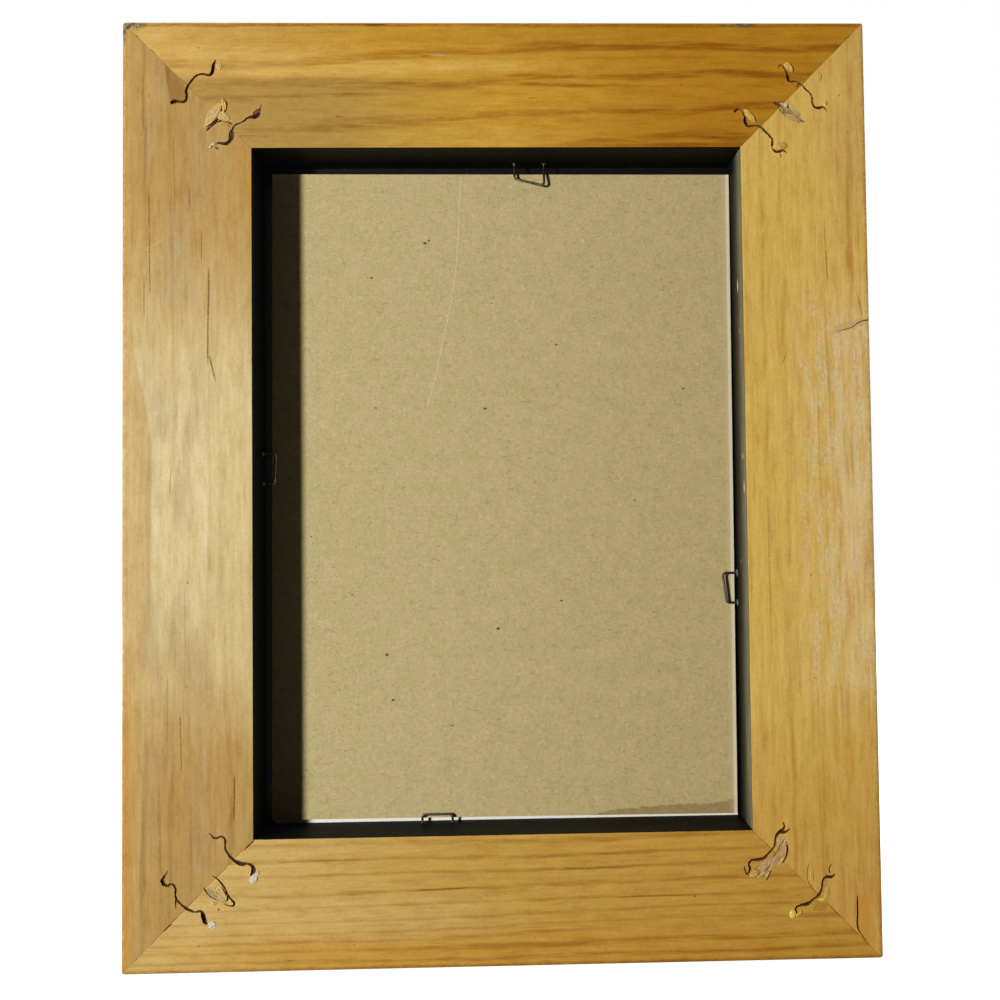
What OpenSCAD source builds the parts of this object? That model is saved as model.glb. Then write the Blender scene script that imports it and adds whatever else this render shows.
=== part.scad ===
// Mitred wooden picture frame, upright, with its back towards +Y.
// Left and right are as seen from the back, so the left rail is on +X.
// The origin is at the middle of the foot, under the bottom rail.

/* [Print] */
// Width of the print that the frame takes
print_w = 127; // [90:1:260]
// Height of the print that the frame takes
print_h = 178; // [110:1:360]
// What the rebate is wider and higher than the print
rebate_allowance = 3; // [2:0.5:6]

/* [Moulding] */
// Width of a rail's back face, from the outer edge to the rebate
rail_w = 34; // [30:1:60]
// Depth of the moulding, from the front face to the back face
rail_depth = 24.5; // [20:0.5:45]
// How far the lip reaches in over the glass
lip_w = 6; // [4:0.5:10]
// Thickness of the lip in front of the glass
lip_depth = 6; // [4.5:0.5:9]
// Radius of the rounded outer edge at the front
front_round = 6; // [2:0.5:10]
// Radius of the eased outer edge at the back
back_round = 1; // [0.5:0.25:3]
// Radius of the hollow that runs down to the sight edge
cove_r = 3; // [1.5:0.5:4]
// Width of the flat left between the hollow and the sight edge
sight_flat = 1.5; // [0.5:0.5:3]

/* [Glazing] */
// Thickness of the glass
glass_t = 2; // [1.5:0.5:3]
// Gap between the glass and the right rail's rebate
glass_gap = 0.6; // [0.4:0.1:1.2]
// Thickness of the bare picture sheet
sheet_t = 0.4; // [0.2:0.1:1]
// Thickness of the backing board
board_t = 1.6; // [1:0.2:3]
// What the backing board is cut shorter than the print
board_trim = 1; // [0:0.5:3]
// Gap between the board and the right rail's rebate, at mid height
board_gap = 0.63; // [0.4:0.01:1.2]
// Gap under the board, at mid width
board_foot = 1.1; // [0.4:0.1:1.5]
// Turn of the board in the rebate, in degrees
board_turn = 0.2; // [0:0.05:0.2]

/* [Corrugated fasteners] */
// Length of a fastener across the mitre
fastener_len = 16.5; // [12:0.5:20]
// Height of a fastener's strip, driven into the wood
fastener_depth = 11; // [6:0.5:14]
// Thickness of the strip
strip_t = 0.5; // [0.3:0.1:0.8]
// Height of the strip's waves, crest to trough
wave_h = 2.4; // [1:0.2:3.2]
// Distance between the two crests
wave_pitch = 10.2; // [8:0.2:12]
// How far the strip is driven below the back face
fastener_sink = 0.6; // [0.2:0.1:1.5]
// Width of the torn mouth that the strip leaves behind it
mouth_w = 0.9; // [0.6:0.1:1.4]
// Depth of the ground edge that cuts into the wood
edge_depth = 1; // [0.5:0.25:2]
// Thickness left at the ground edge
edge_t = 0.2; // [0.1:0.05:0.25]
// Distance from the rebate's corner to the inner fastener
inner_from_corner = 6.8; // [6:0.1:9]
// Distance between the two fasteners of a mitre
fastener_spacing = 16.6; // [14:0.1:18]

/* [How the fasteners stray] */
// Top left outer: along the mitre, across it, and its turn
stray_tlo = [0.3, 1.8, 0];
// Top left inner
stray_tli = [-0.4, 1.5, -5];
// Top right outer
stray_tro = [0.2, 0.9, 4];
// Top right inner
stray_tri = [0, 1, 5];
// Bottom left outer
stray_blo = [-0.6, 1.4, 1];
// Bottom left inner
stray_bli = [-0.4, 0.8, -3];
// Bottom right outer
stray_bro = [-0.1, 0.3, 0];
// Bottom right inner
stray_bri = [0.8, 1.1, 6];

/* [Wire clips] */
// Diameter of the staple wire
wire_d = 1; // [0.8:0.1:1.4]
// Distance between the two legs of a clip
leg_spacing = 8.2; // [7:0.1:12]
// How deep the legs are driven into the rebate wall
leg_in = 8; // [5:0.5:12]
// Depth of a leg's pointed end
leg_point = 1.2; // [0.8:0.1:2]
// How far the wire swells where it bends into the crown
bend_swell = 0.03; // [0.02:0.01:0.1]
// Diameter of the round knuckle on which a clip bends
knuckle_d = 1.2; // [1.1:0.1:1.6]
// Running clearance of the knuckle
knuckle_gap = 0.05; // [0.03:0.01:0.1]
// Angle at which the loops stand up from the board
clip_rise = 12; // [2:1:30]
// Arm lengths of the top clip, right one first
top_clip_arms = [6.1, 3.95];
// Arm lengths of the left clip, upper one first
left_clip_arms = [3.2, 2.7];
// Arm lengths of the bottom clip, left one first
bottom_clip_arms = [1.65, 1.65];
// Arm lengths of the right clip, lower one first
right_clip_arms = [2.5, 3.65];
// Place of each clip along its rail, off the middle
top_clip_at = -8.8; // [-40:0.1:40]
// Place of the left clip
left_clip_at = -6.1; // [-60:0.1:60]
// Place of the bottom clip
bottom_clip_at = -18.1; // [-40:0.1:40]
// Place of the right clip
right_clip_at = -27.9; // [-60:0.1:60]

/* [Hidden] */
$fn = 48;
// Overlap that keeps a cutter clear of the face it opens
over = 1;
// Steps in which a fastener's wave is drawn
wave_steps = 24;
// How much narrower the crests are than the flat between them
wave_power = 1.6;

rebate_w = print_w + rebate_allowance;
rebate_h = print_h + rebate_allowance;
frame_w = rebate_w + 2 * rail_w;
frame_h = rebate_h + 2 * rail_w;
back_y = rail_depth / 2;
front_y = -rail_depth / 2;
mitre_len = rail_w * sqrt(2);
glass_y = front_y + lip_depth;
sheet_y = glass_y + glass_t;
board_y = sheet_y + sheet_t;
board_back_y = board_y + board_t;
wire_r = wire_d / 2;
bend_r = wire_r + bend_swell;
knuckle_r = knuckle_d / 2;
// A clip's hinge line lies this far off the rebate wall and off the board
hinge_in = knuckle_r + knuckle_gap;
inner_at = mitre_len - inner_from_corner;
outer_at = inner_at - fastener_spacing;

// Each side is the top one turned about the frame's centre
TOP = 0;
LEFT = 90;
BOTTOM = 180;
RIGHT = -90;
// Each corner by its signs along X and Z
TOP_LEFT = [1, 1];
TOP_RIGHT = [-1, 1];
BOTTOM_LEFT = [1, -1];
BOTTOM_RIGHT = [-1, -1];

function is_level(side) = side == TOP || side == BOTTOM;
function rail_len(side) = is_level(side) ? frame_w : frame_h;
function half_span(side) = (is_level(side) ? frame_h : frame_w) / 2;

// Origin at the middle of a side's outer face, with the opening towards -Z
module at_side(side) {
    translate([0, 0, frame_h / 2])
        rotate([0, side, 0])
            translate([0, 0, half_span(side)])
                children();
}

// Origin at an outer corner, with +Z along the mitre and X across it
module at_corner(corner) {
    translate([corner[0] * frame_w / 2, 0, (1 + corner[1]) * frame_h / 2])
        rotate([0, atan2(-corner[0], -corner[1]), 0])
            children();
}

// Sinks an outline drawn in XZ from one depth under the back face to another
module sunk(from, to) {
    translate([0, back_y - from, 0])
        rotate([90, 0, 0])
            linear_extrude(to - from)
                children();
}

// Moulding

// Section of a rail: X runs from the front face to the back, Y inwards
module rail_section() {
    difference() {
        union() {
            translate([front_round, 0])
                square([rail_depth - front_round - back_round, rail_w]);
            translate([0, front_round])
                square([rail_depth, rail_w - front_round]);
            translate([front_round, back_round])
                square([rail_depth - front_round, rail_w - back_round]);
            translate([front_round, front_round])
                circle(front_round);
            translate([rail_depth - back_round, back_round])
                circle(back_round);
            translate([0, rail_w - over])
                square([lip_depth, lip_w + over]);
        }
        translate([0, rail_w + lip_w - sight_flat])
            circle(cove_r);
        translate([-over, rail_w + lip_w - sight_flat])
            square([over + cove_r, sight_flat + over]);
    }
}

// A rail of the top side, cut to its two mitres
module mitred_rail(len) {
    reach = rail_w + lip_w;
    intersection() {
        translate([0, front_y, 0])
            rotate([-90, 0, 90])
                linear_extrude(len, center = true)
                    rail_section();
        rotate([90, 0, 0])
            linear_extrude(rail_depth + 2 * over, center = true)
                polygon([[-len / 2, 0], [len / 2, 0], [len / 2 - reach, -reach], [reach - len / 2, -reach]]);
    }
}

module rail(side, corner_a, corner_b, clip_at) {
    color([0.80, 0.66, 0.38])
        difference() {
            at_side(side) mitred_rail(rail_len(side));
            fastener_slots(corner_a);
            fastener_slots(corner_b);
            clip_legs(side, clip_at);
        }
}

// Corrugated fasteners

function wave(s) = wave_h * pow((1 - cos(360 * s / wave_pitch)) / 2, wave_power);
function wave_slope(s) = (wave(s + 0.01) - wave(s - 0.01)) / 0.02;
// Point on one side of the strip, square to its middle line
function strip_point(s, off) =
    let (slope = wave_slope(s), run = sqrt(1 + slope * slope))
    [s - off * slope / run, wave(s) + off / run];

// Outline of the corrugated strip at a given thickness
module strip_outline(thickness) {
    places = [for (i = [0:wave_steps]) fastener_len * (i / wave_steps - 0.5)];
    polygon(concat(
        [for (i = [0:wave_steps]) strip_point(places[i], thickness / 2)],
        [for (i = [wave_steps:-1:0]) strip_point(places[i], -thickness / 2)]
    ));
}

// The strip with its ground lower edge
module fastener_strip() {
    foot = fastener_sink + fastener_depth;
    sunk(fastener_sink, foot - edge_depth) strip_outline(strip_t);
    sunk(foot - edge_depth, foot) strip_outline(edge_t);
}

// Where one fastener sits: its distance along the mitre, and how it strays
module fastener_place(corner, along, stray) {
    at_corner(corner)
        translate([stray[1], 0, along + stray[0]])
            rotate([0, stray[2], 0])
                children();
}

module fastener(corner, along, stray) {
    color([0.30, 0.25, 0.21])
        fastener_place(corner, along, stray) fastener_strip();
}

module fastener_slot(corner, along, stray) {
    fastener_place(corner, along, stray) {
        fastener_strip();
        sunk(-over, fastener_sink) strip_outline(mouth_w);
    }
}

function strays(corner) =
    corner == TOP_LEFT ? [stray_tlo, stray_tli]
    : corner == TOP_RIGHT ? [stray_tro, stray_tri]
    : corner == BOTTOM_LEFT ? [stray_blo, stray_bli]
    : [stray_bro, stray_bri];

module fastener_slots(corner) {
    fastener_slot(corner, outer_at, strays(corner)[0]);
    fastener_slot(corner, inner_at, strays(corner)[1]);
}

module outer_fastener(corner) { fastener(corner, outer_at, strays(corner)[0]); }
module inner_fastener(corner) { fastener(corner, inner_at, strays(corner)[1]); }

// Glazing

// A sheet's middle, when it stands against the right rail with the given gap
function middle_x(w, gap) = gap - (rebate_w - w) / 2;

module pane(y, thickness, w, h, gap, foot, turn = 0) {
    translate([middle_x(w, gap), y, rail_w + foot + h / 2])
        rotate([0, -turn, 0])
            translate([-w / 2, 0, -h / 2]) cube([w, thickness, h]);
}

// The glass and the sheet stand on the bottom rail's rebate
module glass_pane() {
    color([0.80, 0.90, 0.90, 0.4])
        pane(glass_y, glass_t, print_w, print_h, glass_gap, 0);
}

module picture_sheet() {
    color([0.95, 0.95, 0.93])
        pane(sheet_y, sheet_t, print_w, print_h, glass_gap, 0);
}

module backing_board() {
    color([0.70, 0.65, 0.46])
        pane(board_y, board_t, print_w, print_h - board_trim, board_gap, board_foot, board_turn);
}

// Wire clips

// Hinge line of a clip: X along the wall, Y into the opening, Z towards the back
module at_hinge(side, clip_at) {
    at_side(side)
        translate([clip_at, board_back_y + hinge_in, -rail_w - hinge_in])
            rotate([-90, 0, 0])
                children();
}

// A straight of wire along +Z that ends in a round of the given radius, turns
// towards +X there and goes on with what follows
module wire(len, end_r, turn = 0) {
    cylinder(r = wire_r, h = len);
    translate([0, 0, len]) {
        sphere(end_r);
        rotate([0, turn, 0]) children();
    }
}

// The loop that stands out of the wall: a knuckle, an arm, the crown, an arm, a knuckle
module clip_loop(arms) {
    skew = atan((arms[1] - arms[0]) / leg_spacing);
    translate([-leg_spacing / 2, 0, 0])
        rotate([-90, 0, 0]) {
            sphere(knuckle_r);
            wire(arms[0], bend_r, 90 - skew)
                wire(leg_spacing / cos(skew), bend_r, 90 + skew)
                    wire(arms[1], knuckle_r);
        }
}

module clip(side, clip_at, arms) {
    color([0.75, 0.75, 0.76])
        at_hinge(side, clip_at)
            rotate([clip_rise, 0, 0])
                clip_loop(arms);
}

// The two pointed legs in the wood, from the wall inwards
module clip_legs(side, clip_at) {
    color([0.75, 0.75, 0.76])
        at_hinge(side, clip_at)
            for (x = [-leg_spacing / 2, leg_spacing / 2])
                translate([x, -hinge_in, 0])
                    rotate([90, 0, 0]) {
                        cylinder(r = wire_r, h = leg_in - leg_point);
                        translate([0, 0, leg_in - leg_point])
                            cylinder(r1 = wire_r, r2 = wire_r / 4, h = leg_point);
                    }
}

module rail_top() { rail(TOP, TOP_LEFT, TOP_RIGHT, top_clip_at); }
module rail_left() { rail(LEFT, TOP_LEFT, BOTTOM_LEFT, left_clip_at); }
module rail_bottom() { rail(BOTTOM, BOTTOM_LEFT, BOTTOM_RIGHT, bottom_clip_at); }
module rail_right() { rail(RIGHT, TOP_RIGHT, BOTTOM_RIGHT, right_clip_at); }

rail_top();
rail_bottom();
rail_left();
rail_right();
outer_fastener(TOP_LEFT);  // fastener_top_left_outer
inner_fastener(TOP_LEFT);  // fastener_top_left_inner
outer_fastener(TOP_RIGHT);  // fastener_top_right_outer
inner_fastener(TOP_RIGHT);  // fastener_top_right_inner
outer_fastener(BOTTOM_LEFT);  // fastener_bottom_left_outer
inner_fastener(BOTTOM_LEFT);  // fastener_bottom_left_inner
outer_fastener(BOTTOM_RIGHT);  // fastener_bottom_right_outer
inner_fastener(BOTTOM_RIGHT);  // fastener_bottom_right_inner
glass_pane();
picture_sheet();
backing_board();
clip(TOP, top_clip_at, top_clip_arms);  // clip_top
clip(LEFT, left_clip_at, left_clip_arms);  // clip_left
clip(BOTTOM, bottom_clip_at, bottom_clip_arms);  // clip_bottom
clip(RIGHT, right_clip_at, right_clip_arms);  // clip_right
clip_legs(TOP, top_clip_at);  // clip_top_legs
clip_legs(LEFT, left_clip_at);  // clip_left_legs
clip_legs(BOTTOM, bottom_clip_at);  // clip_bottom_legs
clip_legs(RIGHT, right_clip_at);  // clip_right_legs
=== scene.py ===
"""The picture frame's looks: pine, black paint, torn wood, steel wire, card and glass.

Places are in millimetres as someone sees them who stands behind the frame: right of its
middle, up from its foot, and deep below its back face.
"""
from contextlib import contextmanager
from math import atan, cos, pi, radians, sin, tan

import bmesh
import bpy
from mathutils import Matrix, Vector


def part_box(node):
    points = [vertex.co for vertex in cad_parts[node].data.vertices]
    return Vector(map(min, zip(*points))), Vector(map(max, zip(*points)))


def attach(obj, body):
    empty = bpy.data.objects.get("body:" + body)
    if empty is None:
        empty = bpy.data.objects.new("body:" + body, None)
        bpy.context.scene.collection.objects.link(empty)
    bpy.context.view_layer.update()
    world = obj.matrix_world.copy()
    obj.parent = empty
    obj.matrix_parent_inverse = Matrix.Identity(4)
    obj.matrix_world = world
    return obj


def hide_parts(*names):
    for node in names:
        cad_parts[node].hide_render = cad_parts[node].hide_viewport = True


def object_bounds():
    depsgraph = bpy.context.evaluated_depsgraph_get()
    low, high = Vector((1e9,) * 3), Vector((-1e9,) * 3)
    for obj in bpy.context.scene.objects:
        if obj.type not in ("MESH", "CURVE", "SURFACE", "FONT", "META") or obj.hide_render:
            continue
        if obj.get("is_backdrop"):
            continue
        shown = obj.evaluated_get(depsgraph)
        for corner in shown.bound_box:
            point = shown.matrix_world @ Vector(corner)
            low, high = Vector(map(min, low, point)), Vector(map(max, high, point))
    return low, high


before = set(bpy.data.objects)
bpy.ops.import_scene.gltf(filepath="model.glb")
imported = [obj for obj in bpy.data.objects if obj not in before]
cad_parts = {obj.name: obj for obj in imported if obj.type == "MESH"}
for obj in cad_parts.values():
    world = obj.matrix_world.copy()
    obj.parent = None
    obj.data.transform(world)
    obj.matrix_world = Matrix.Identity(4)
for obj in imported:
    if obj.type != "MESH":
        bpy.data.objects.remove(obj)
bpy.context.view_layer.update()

MM = 0.001

# The frame's own sizes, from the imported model, in millimetres
low, high = (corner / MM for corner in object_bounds())
BACK = high.y
DEPTH = high.y - low.y
HALF_W = high.x
HEIGHT = high.z
RAIL_W = 34.0
LIP_W = 6.0
LIP_DEPTH = 6.0
COVE = 3.0
SIGHT_FLAT = 1.5
FRONT_ROUND = 6.0
BACK_ROUND = 1.0
REBATE_ROUND = 0.2
LIP_ROUND = 0.3
CORNER_ROUND = 1.3
REBATE_HALF_W = HALF_W - RAIL_W
MIDDLE_UP = HEIGHT / 2
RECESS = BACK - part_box("backing_board")[1].y / MM


def place(right, up, deep=0.0):
    """A point of the frame, in metres."""
    return Vector((-right, BACK - deep, up)) * MM


# Shader maths

class Wire:
    """A value or a colour on its way through a material's nodes."""

    def __init__(self, shader, socket):
        self.shader = shader
        self.socket = socket

    def math(self, operation, *values):
        return self.shader.node("ShaderNodeMath", {"operation": operation}, dict(enumerate(values)))

    def __add__(self, other):
        return self.math("ADD", self, other)

    def __radd__(self, other):
        return self.math("ADD", other, self)

    def __sub__(self, other):
        return self.math("SUBTRACT", self, other)

    def __rsub__(self, other):
        return self.math("SUBTRACT", other, self)

    def __mul__(self, other):
        return self.math("MULTIPLY", self, other)

    def __rmul__(self, other):
        return self.math("MULTIPLY", other, self)

    def __truediv__(self, other):
        return self.math("DIVIDE", self, other)

    def __abs__(self):
        return self.math("ABSOLUTE", self)

    def over(self, start, end):
        """Rises smoothly from 0 at start to 1 at end, which may lie below start."""
        return self.shader.node(
            "ShaderNodeMapRange", {"interpolation_type": "SMOOTHSTEP"},
            {"Value": self, "From Min": start, "From Max": end, "To Min": 0.0, "To Max": 1.0},
        )

    def least(self, other):
        return self.math("MINIMUM", self, other)

    def most(self, other):
        return self.math("MAXIMUM", self, other)

    def held(self):
        """The value kept between 0 and 1."""
        return self.math("MINIMUM", self.math("MAXIMUM", self, 0.0), 1.0)


class Shader:
    """A material, built node by node."""

    def __init__(self, name):
        self.material = bpy.data.materials.new(name)
        self.material.use_nodes = True
        self.tree = self.material.node_tree
        self.tree.nodes.clear()
        self.ending = self.tree.nodes.new("ShaderNodeOutputMaterial")

    def node(self, kind, settings, inputs, output=0):
        made = self.tree.nodes.new(kind)
        for name, value in settings.items():
            setattr(made, name, value)
        self.feed(made, inputs)
        return Wire(self, made.outputs[output])

    def feed(self, made, inputs):
        for key, value in inputs.items():
            if isinstance(value, Wire):
                self.tree.links.new(value.socket, made.inputs[key])
            else:
                made.inputs[key].default_value = value

    def spot(self):
        """Right, up and deep of the shaded point, in millimetres."""
        place = self.node("ShaderNodeTexCoord", {}, {}, "Object")
        parts = [self.node("ShaderNodeSeparateXYZ", {}, {0: place}, axis) for axis in "XYZ"]
        return parts[0] * (-1 / MM), parts[2] * (1 / MM), BACK - parts[1] * (1 / MM)

    def facing_back(self):
        """1 where the surface faces the back, 0 at a wall, -1 at the front."""
        normal = self.node("ShaderNodeNewGeometry", {}, {}, "Normal")
        return self.node("ShaderNodeSeparateXYZ", {}, {0: normal}, "Y")

    def vector(self, x, y, z):
        return self.node("ShaderNodeCombineXYZ", {}, {"X": x, "Y": y, "Z": z})

    def noise(self, where, scale, detail=2.0, rough=0.5, warp=0.0):
        return self.node(
            "ShaderNodeTexNoise", {},
            {"Vector": where, "Scale": scale, "Detail": detail, "Roughness": rough, "Distortion": warp},
        )

    def cells(self, where, scale, feature="F1", output="Distance"):
        return self.node("ShaderNodeTexVoronoi", {"feature": feature}, {"Vector": where, "Scale": scale}, output)

    def mix(self, factor, under, over, blend="MIX"):
        """Two colours mixed; each is a wire or a red, green, blue triple."""
        sockets = {"Factor": factor, 6: whole(under), 7: whole(over)}
        return self.node("ShaderNodeMix", {"data_type": "RGBA", "blend_type": blend}, sockets, 2)

    def course(self, along, points, reach):
        """How far in a line runs at each place along the rail, with its half width and its strength."""
        made = self.tree.nodes.new("ShaderNodeValToRGB")
        self.feed(made, {0: along / reach})
        ramp = made.color_ramp
        ramp.interpolation = "B_SPLINE"
        while len(ramp.elements) < len(points):
            ramp.elements.new(0.5)
        for stop, point in zip(ramp.elements, points):
            stop.position = point[0] / reach
        for stop, (at, inward, width, strength) in zip(ramp.elements, points):
            stop.color = (inward / RAIL_W, width / 4, strength, 1.0)
        parts = [self.node("ShaderNodeSeparateColor", {}, {0: Wire(self, made.outputs[0])}, part)
                 for part in ("Red", "Green", "Blue")]
        return parts[0] * RAIL_W, parts[1] * 4, parts[2]

    def inside(self, right, up, corners, soft=0.25):
        """1 inside an outline that bulges nowhere inwards, its corners going clockwise."""
        mask = None
        for (r0, u0), (r1, u1) in zip(corners, corners[1:] + corners[:1]):
            length = ((r1 - r0) ** 2 + (u1 - u0) ** 2) ** 0.5
            off = (right - r0) * ((u1 - u0) / length) - (up - u0) * ((r1 - r0) / length)
            edge = off.over(-soft, soft)
            mask = edge if mask is None else mask * edge
        return mask

    def round_spot(self, right, up, at_right, at_up, half_right, half_up):
        """1 in the middle of an oval spot, falling to 0 at its rim."""
        away = self.node("ShaderNodeVectorMath", {"operation": "LENGTH"}, {0: self.vector(
            (right - at_right) * (1 / half_right), (up - at_up) * (1 / half_up), 0.0)}, "Value")
        return away.over(1.0, 0.35)

    def bump(self, height, strength, distance):
        return self.node(
            "ShaderNodeBump", {}, {"Height": height, "Strength": strength, "Distance": distance * MM}
        )

    def finish(self, **sockets):
        """Ends in one Principled shader, whose sockets are named with underscores."""
        made = self.tree.nodes.new("ShaderNodeBsdfPrincipled")
        self.feed(made, {name.replace("_", " "): whole(value) if name == "Base_Color" else value
                         for name, value in sockets.items()})
        self.tree.links.new(made.outputs[0], self.ending.inputs["Surface"])
        return self.material


def whole(colour):
    return colour if isinstance(colour, Wire) else (*colour, 1.0)


def paint(red, green, blue):
    """A colour as a screen shows it, 0 to 255, in the linear values that a shader takes."""
    return tuple(
        level / 12.92 if level <= 0.04045 else ((level + 0.055) / 1.055) ** 2.4
        for level in (red / 255, green / 255, blue / 255)
    )


# Finishes

STRAW = paint(195, 154, 74)
PALE_STRAW = paint(201, 169, 102)
HONEY = paint(200, 153, 54)
AMBER = paint(184, 130, 34)
GOLD = paint(216, 178, 94)
TAN = paint(206, 186, 134)
TAN_END = paint(176, 141, 79)
GREYED = paint(168, 134, 70)
# Pale bleached wood, and also the colour of the painted highlights (glints) on the right rail
BLEACHED_AND_GLINT = paint(226, 206, 166)
LATE_DYE = (0.64, 0.50, 0.33)
DARK_GRAIN = paint(92, 62, 32)
BROWN_DARKENING = (0.62, 0.54, 0.44)
BLACK_PAINT = paint(12, 11, 9)
WORN_PAINT = paint(128, 126, 98)
BLUE_BLACK = paint(66, 78, 72)


class Rail:
    """One rail's pine: which way it runs, and what the photograph shows on it."""

    def __init__(self, name, level, mirrored, tones, bands, contrast, streaks, glints, worn, nicks=()):
        self.name = name
        self.level = level
        self.mirrored = mirrored
        self.tones = tones
        self.bands = bands
        self.contrast = contrast
        self.streaks = streaks
        self.glints = glints
        self.worn = worn
        self.nicks = nicks

    def grain(self, right, up):
        """Place along the rail and inward from its outer edge."""
        if self.level:
            return right + HALF_W, (up if self.mirrored else HEIGHT - up)
        return HEIGHT - up, (HALF_W - right if self.mirrored else right + HALF_W)

    def at(self, along, inward, deep):
        """The point of the frame at a place along the rail, inward from its outer edge and deep."""
        if self.level:
            return place(along - HALF_W, inward if self.mirrored else HEIGHT - inward, deep)
        return place(HALF_W - inward if self.mirrored else inward - HALF_W, HEIGHT - along, deep)

    def reach(self):
        return 2 * HALF_W if self.level else HEIGHT


def streak_mask(along, inward, start, end, at, at_end, width):
    """A thin line along the grain that fades at both ends."""
    line = (along - start) * ((at_end - at) / (end - start)) + at
    ends = along.over(start - 1.0, start + 2.0) * along.over(end + 1.0, end - 2.0)
    return abs(inward - line).over(width, 0.25 * width) * ends


def pine(rail):
    shader = Shader("pine_" + rail.name)
    right, up, deep = shader.spot()
    facing = shader.facing_back()
    along, inward = rail.grain(right, up)
    where = shader.vector(along, inward, deep)
    fibres = shader.noise(shader.vector(along * 0.05, inward, deep), 1.9, 4.0, 0.65)
    fine_fibres = shader.noise(shader.vector(along * 0.12, inward, deep), 5.0, 2.0, 0.6)
    cloud = shader.noise(shader.vector(along * 0.3, inward, deep), 0.11, 2.0, 0.5)
    grain = shader.noise(shader.vector(along * 0.09, inward, deep), 0.95, 3.0, 0.65)
    mottle = shader.noise(where, 1.1, 4.0, 0.7)
    wander = (shader.noise(shader.vector(along * 0.3, inward, deep), 0.3, 3.0) - 0.5) * 1.1

    colour = rail.tones(shader, along, inward, cloud, fibres)
    walk = inward + wander
    for points in rail.bands:
        line, width, strength = shader.course(along, points, rail.reach())
        off = abs(walk - line) / width
        mask = off.over(1.6, 0.3) * strength * (0.45 + 0.8 * grain.over(0.3, 0.6)) * rail.contrast
        colour = shader.mix(mask.held(), colour, LATE_DYE, "MULTIPLY")
    streaky = shader.noise(shader.vector(along * 0.07, inward, deep), 0.55, 3.0, 0.6)
    colour = shader.mix(0.6 * streaky.over(0.5, 0.7), colour, (0.90, 0.85, 0.78), "MULTIPLY")
    colour = shader.mix(0.5 * streaky.over(0.5, 0.32), colour, (1.08, 1.09, 1.10), "MULTIPLY")
    blotch = shader.noise(shader.vector(along * 0.36, inward, deep), 0.34, 4.0, 0.68)
    colour = shader.mix(0.7 * blotch.over(0.5, 0.68), colour, (0.89, 0.81, 0.68), "MULTIPLY")
    colour = shader.mix(0.6 * blotch.over(0.5, 0.34), colour, (1.10, 1.14, 1.24), "MULTIPLY")
    colour = shader.mix(0.6 * grain.over(0.5, 0.68), colour, (0.90, 0.85, 0.76), "MULTIPLY")
    colour = shader.mix(0.5 * grain.over(0.5, 0.34), colour, (1.07, 1.08, 1.11), "MULTIPLY")
    colour = shader.mix(0.5 * fibres.over(0.5, 0.78), colour, (0.82, 0.76, 0.66), "MULTIPLY")
    colour = shader.mix(0.5 * fibres.over(0.5, 0.25), colour, (1.12, 1.12, 1.12), "MULTIPLY")
    colour = shader.mix(0.5 * fine_fibres.over(0.5, 0.3), colour, (1.12, 1.11, 1.08), "MULTIPLY")
    colour = shader.mix(0.6 * mottle.over(0.5, 0.72), colour, (0.84, 0.82, 0.78), "MULTIPLY")
    colour = shader.mix(0.5 * mottle.over(0.5, 0.3), colour, (1.10, 1.10, 1.10), "MULTIPLY")
    for start, end, at, at_end, width, strength in rail.streaks:
        mask = streak_mask(along, inward + wander * 0.35, start, end, at, at_end, width) * mottle.over(0.26, 0.5)
        colour = shader.mix(mask * abs(strength), colour, DARK_GRAIN if strength > 0 else BLEACHED_AND_GLINT)
    specks = shader.cells(shader.vector(along * 0.6, inward, deep), 0.16).over(0.045, 0.02)
    colour = shader.mix(0.7 * specks, colour, DARK_GRAIN)
    # Painted highlight: on the right rail, pale flecks and soft patches in the colour stand in for glints of its
    # varnish
    if rail.glints:
        start, end, inner = rail.glints
        area = along.over(start, start + 25) * along.over(end, end - 25) * inward.over(inner, inner - 9)
        flecks = shader.noise(shader.vector(along * 0.55, inward, deep), 1.35, 3.0, 0.75)
        patches = shader.noise(shader.vector(along * 0.25, inward, deep), 0.4, 2.0).over(0.42, 0.6)
        shine = flecks.over(0.44, 0.6) * (0.12 + patches * 0.48) + patches * 0.12
        colour = shader.mix(area * shine, colour, BLEACHED_AND_GLINT)
    # Patches: brown ones darken the wood, orange ones tint it
    for kind, corners, strength in STAINS_AND_PATCHES.get(rail.name, []):
        mask = shader.inside(right, up, corners) * strength
        if kind == "brown":
            colour = shader.mix(mask, colour, BROWN_DARKENING, "MULTIPLY")
        else:
            colour = shader.mix(mask, colour, paint(206, 146, 56))

    side_off = (HALF_W - abs(right)).least(up.least(HEIGHT - up))
    wall_off = (abs(right) - REBATE_HALF_W).most(abs(up - MIDDLE_UP) - (MIDDLE_UP - RAIL_W))
    edge_wear = shader.noise(where, 0.55, 4.0, 0.7)
    mitre = abs((HALF_W - abs(right)) - (MIDDLE_UP - abs(up - MIDDLE_UP))) * (1 / 2 ** 0.5)
    seam = mitre.over(0.2, 0.05) * shader.noise(where, 0.21, 3.0).over(0.46, 0.6)
    colour = shader.mix(0.8 * seam, colour, DARK_GRAIN)
    handled = (deep * 1.2 + side_off).over(1.9, 0.5) * edge_wear.over(0.35, 0.7)
    colour = shader.mix(0.6 * handled, colour, (0.66, 0.56, 0.46), "MULTIPLY")
    dip = (shader.round_spot(right, up, -97.2, 248.2, 6.5, 2.2).most(
        shader.round_spot(right, up, -98.6, 245.8, 1.2, 3.6))) * edge_wear.over(0.36, 0.6)
    smear = shader.round_spot(right, up, 65.0, 248.2, 6.5, 1.0) * edge_wear.over(0.38, 0.55)
    colour = shader.mix((dip * 1.1).held().most(smear * 0.8), colour, BLUE_BLACK)

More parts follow.
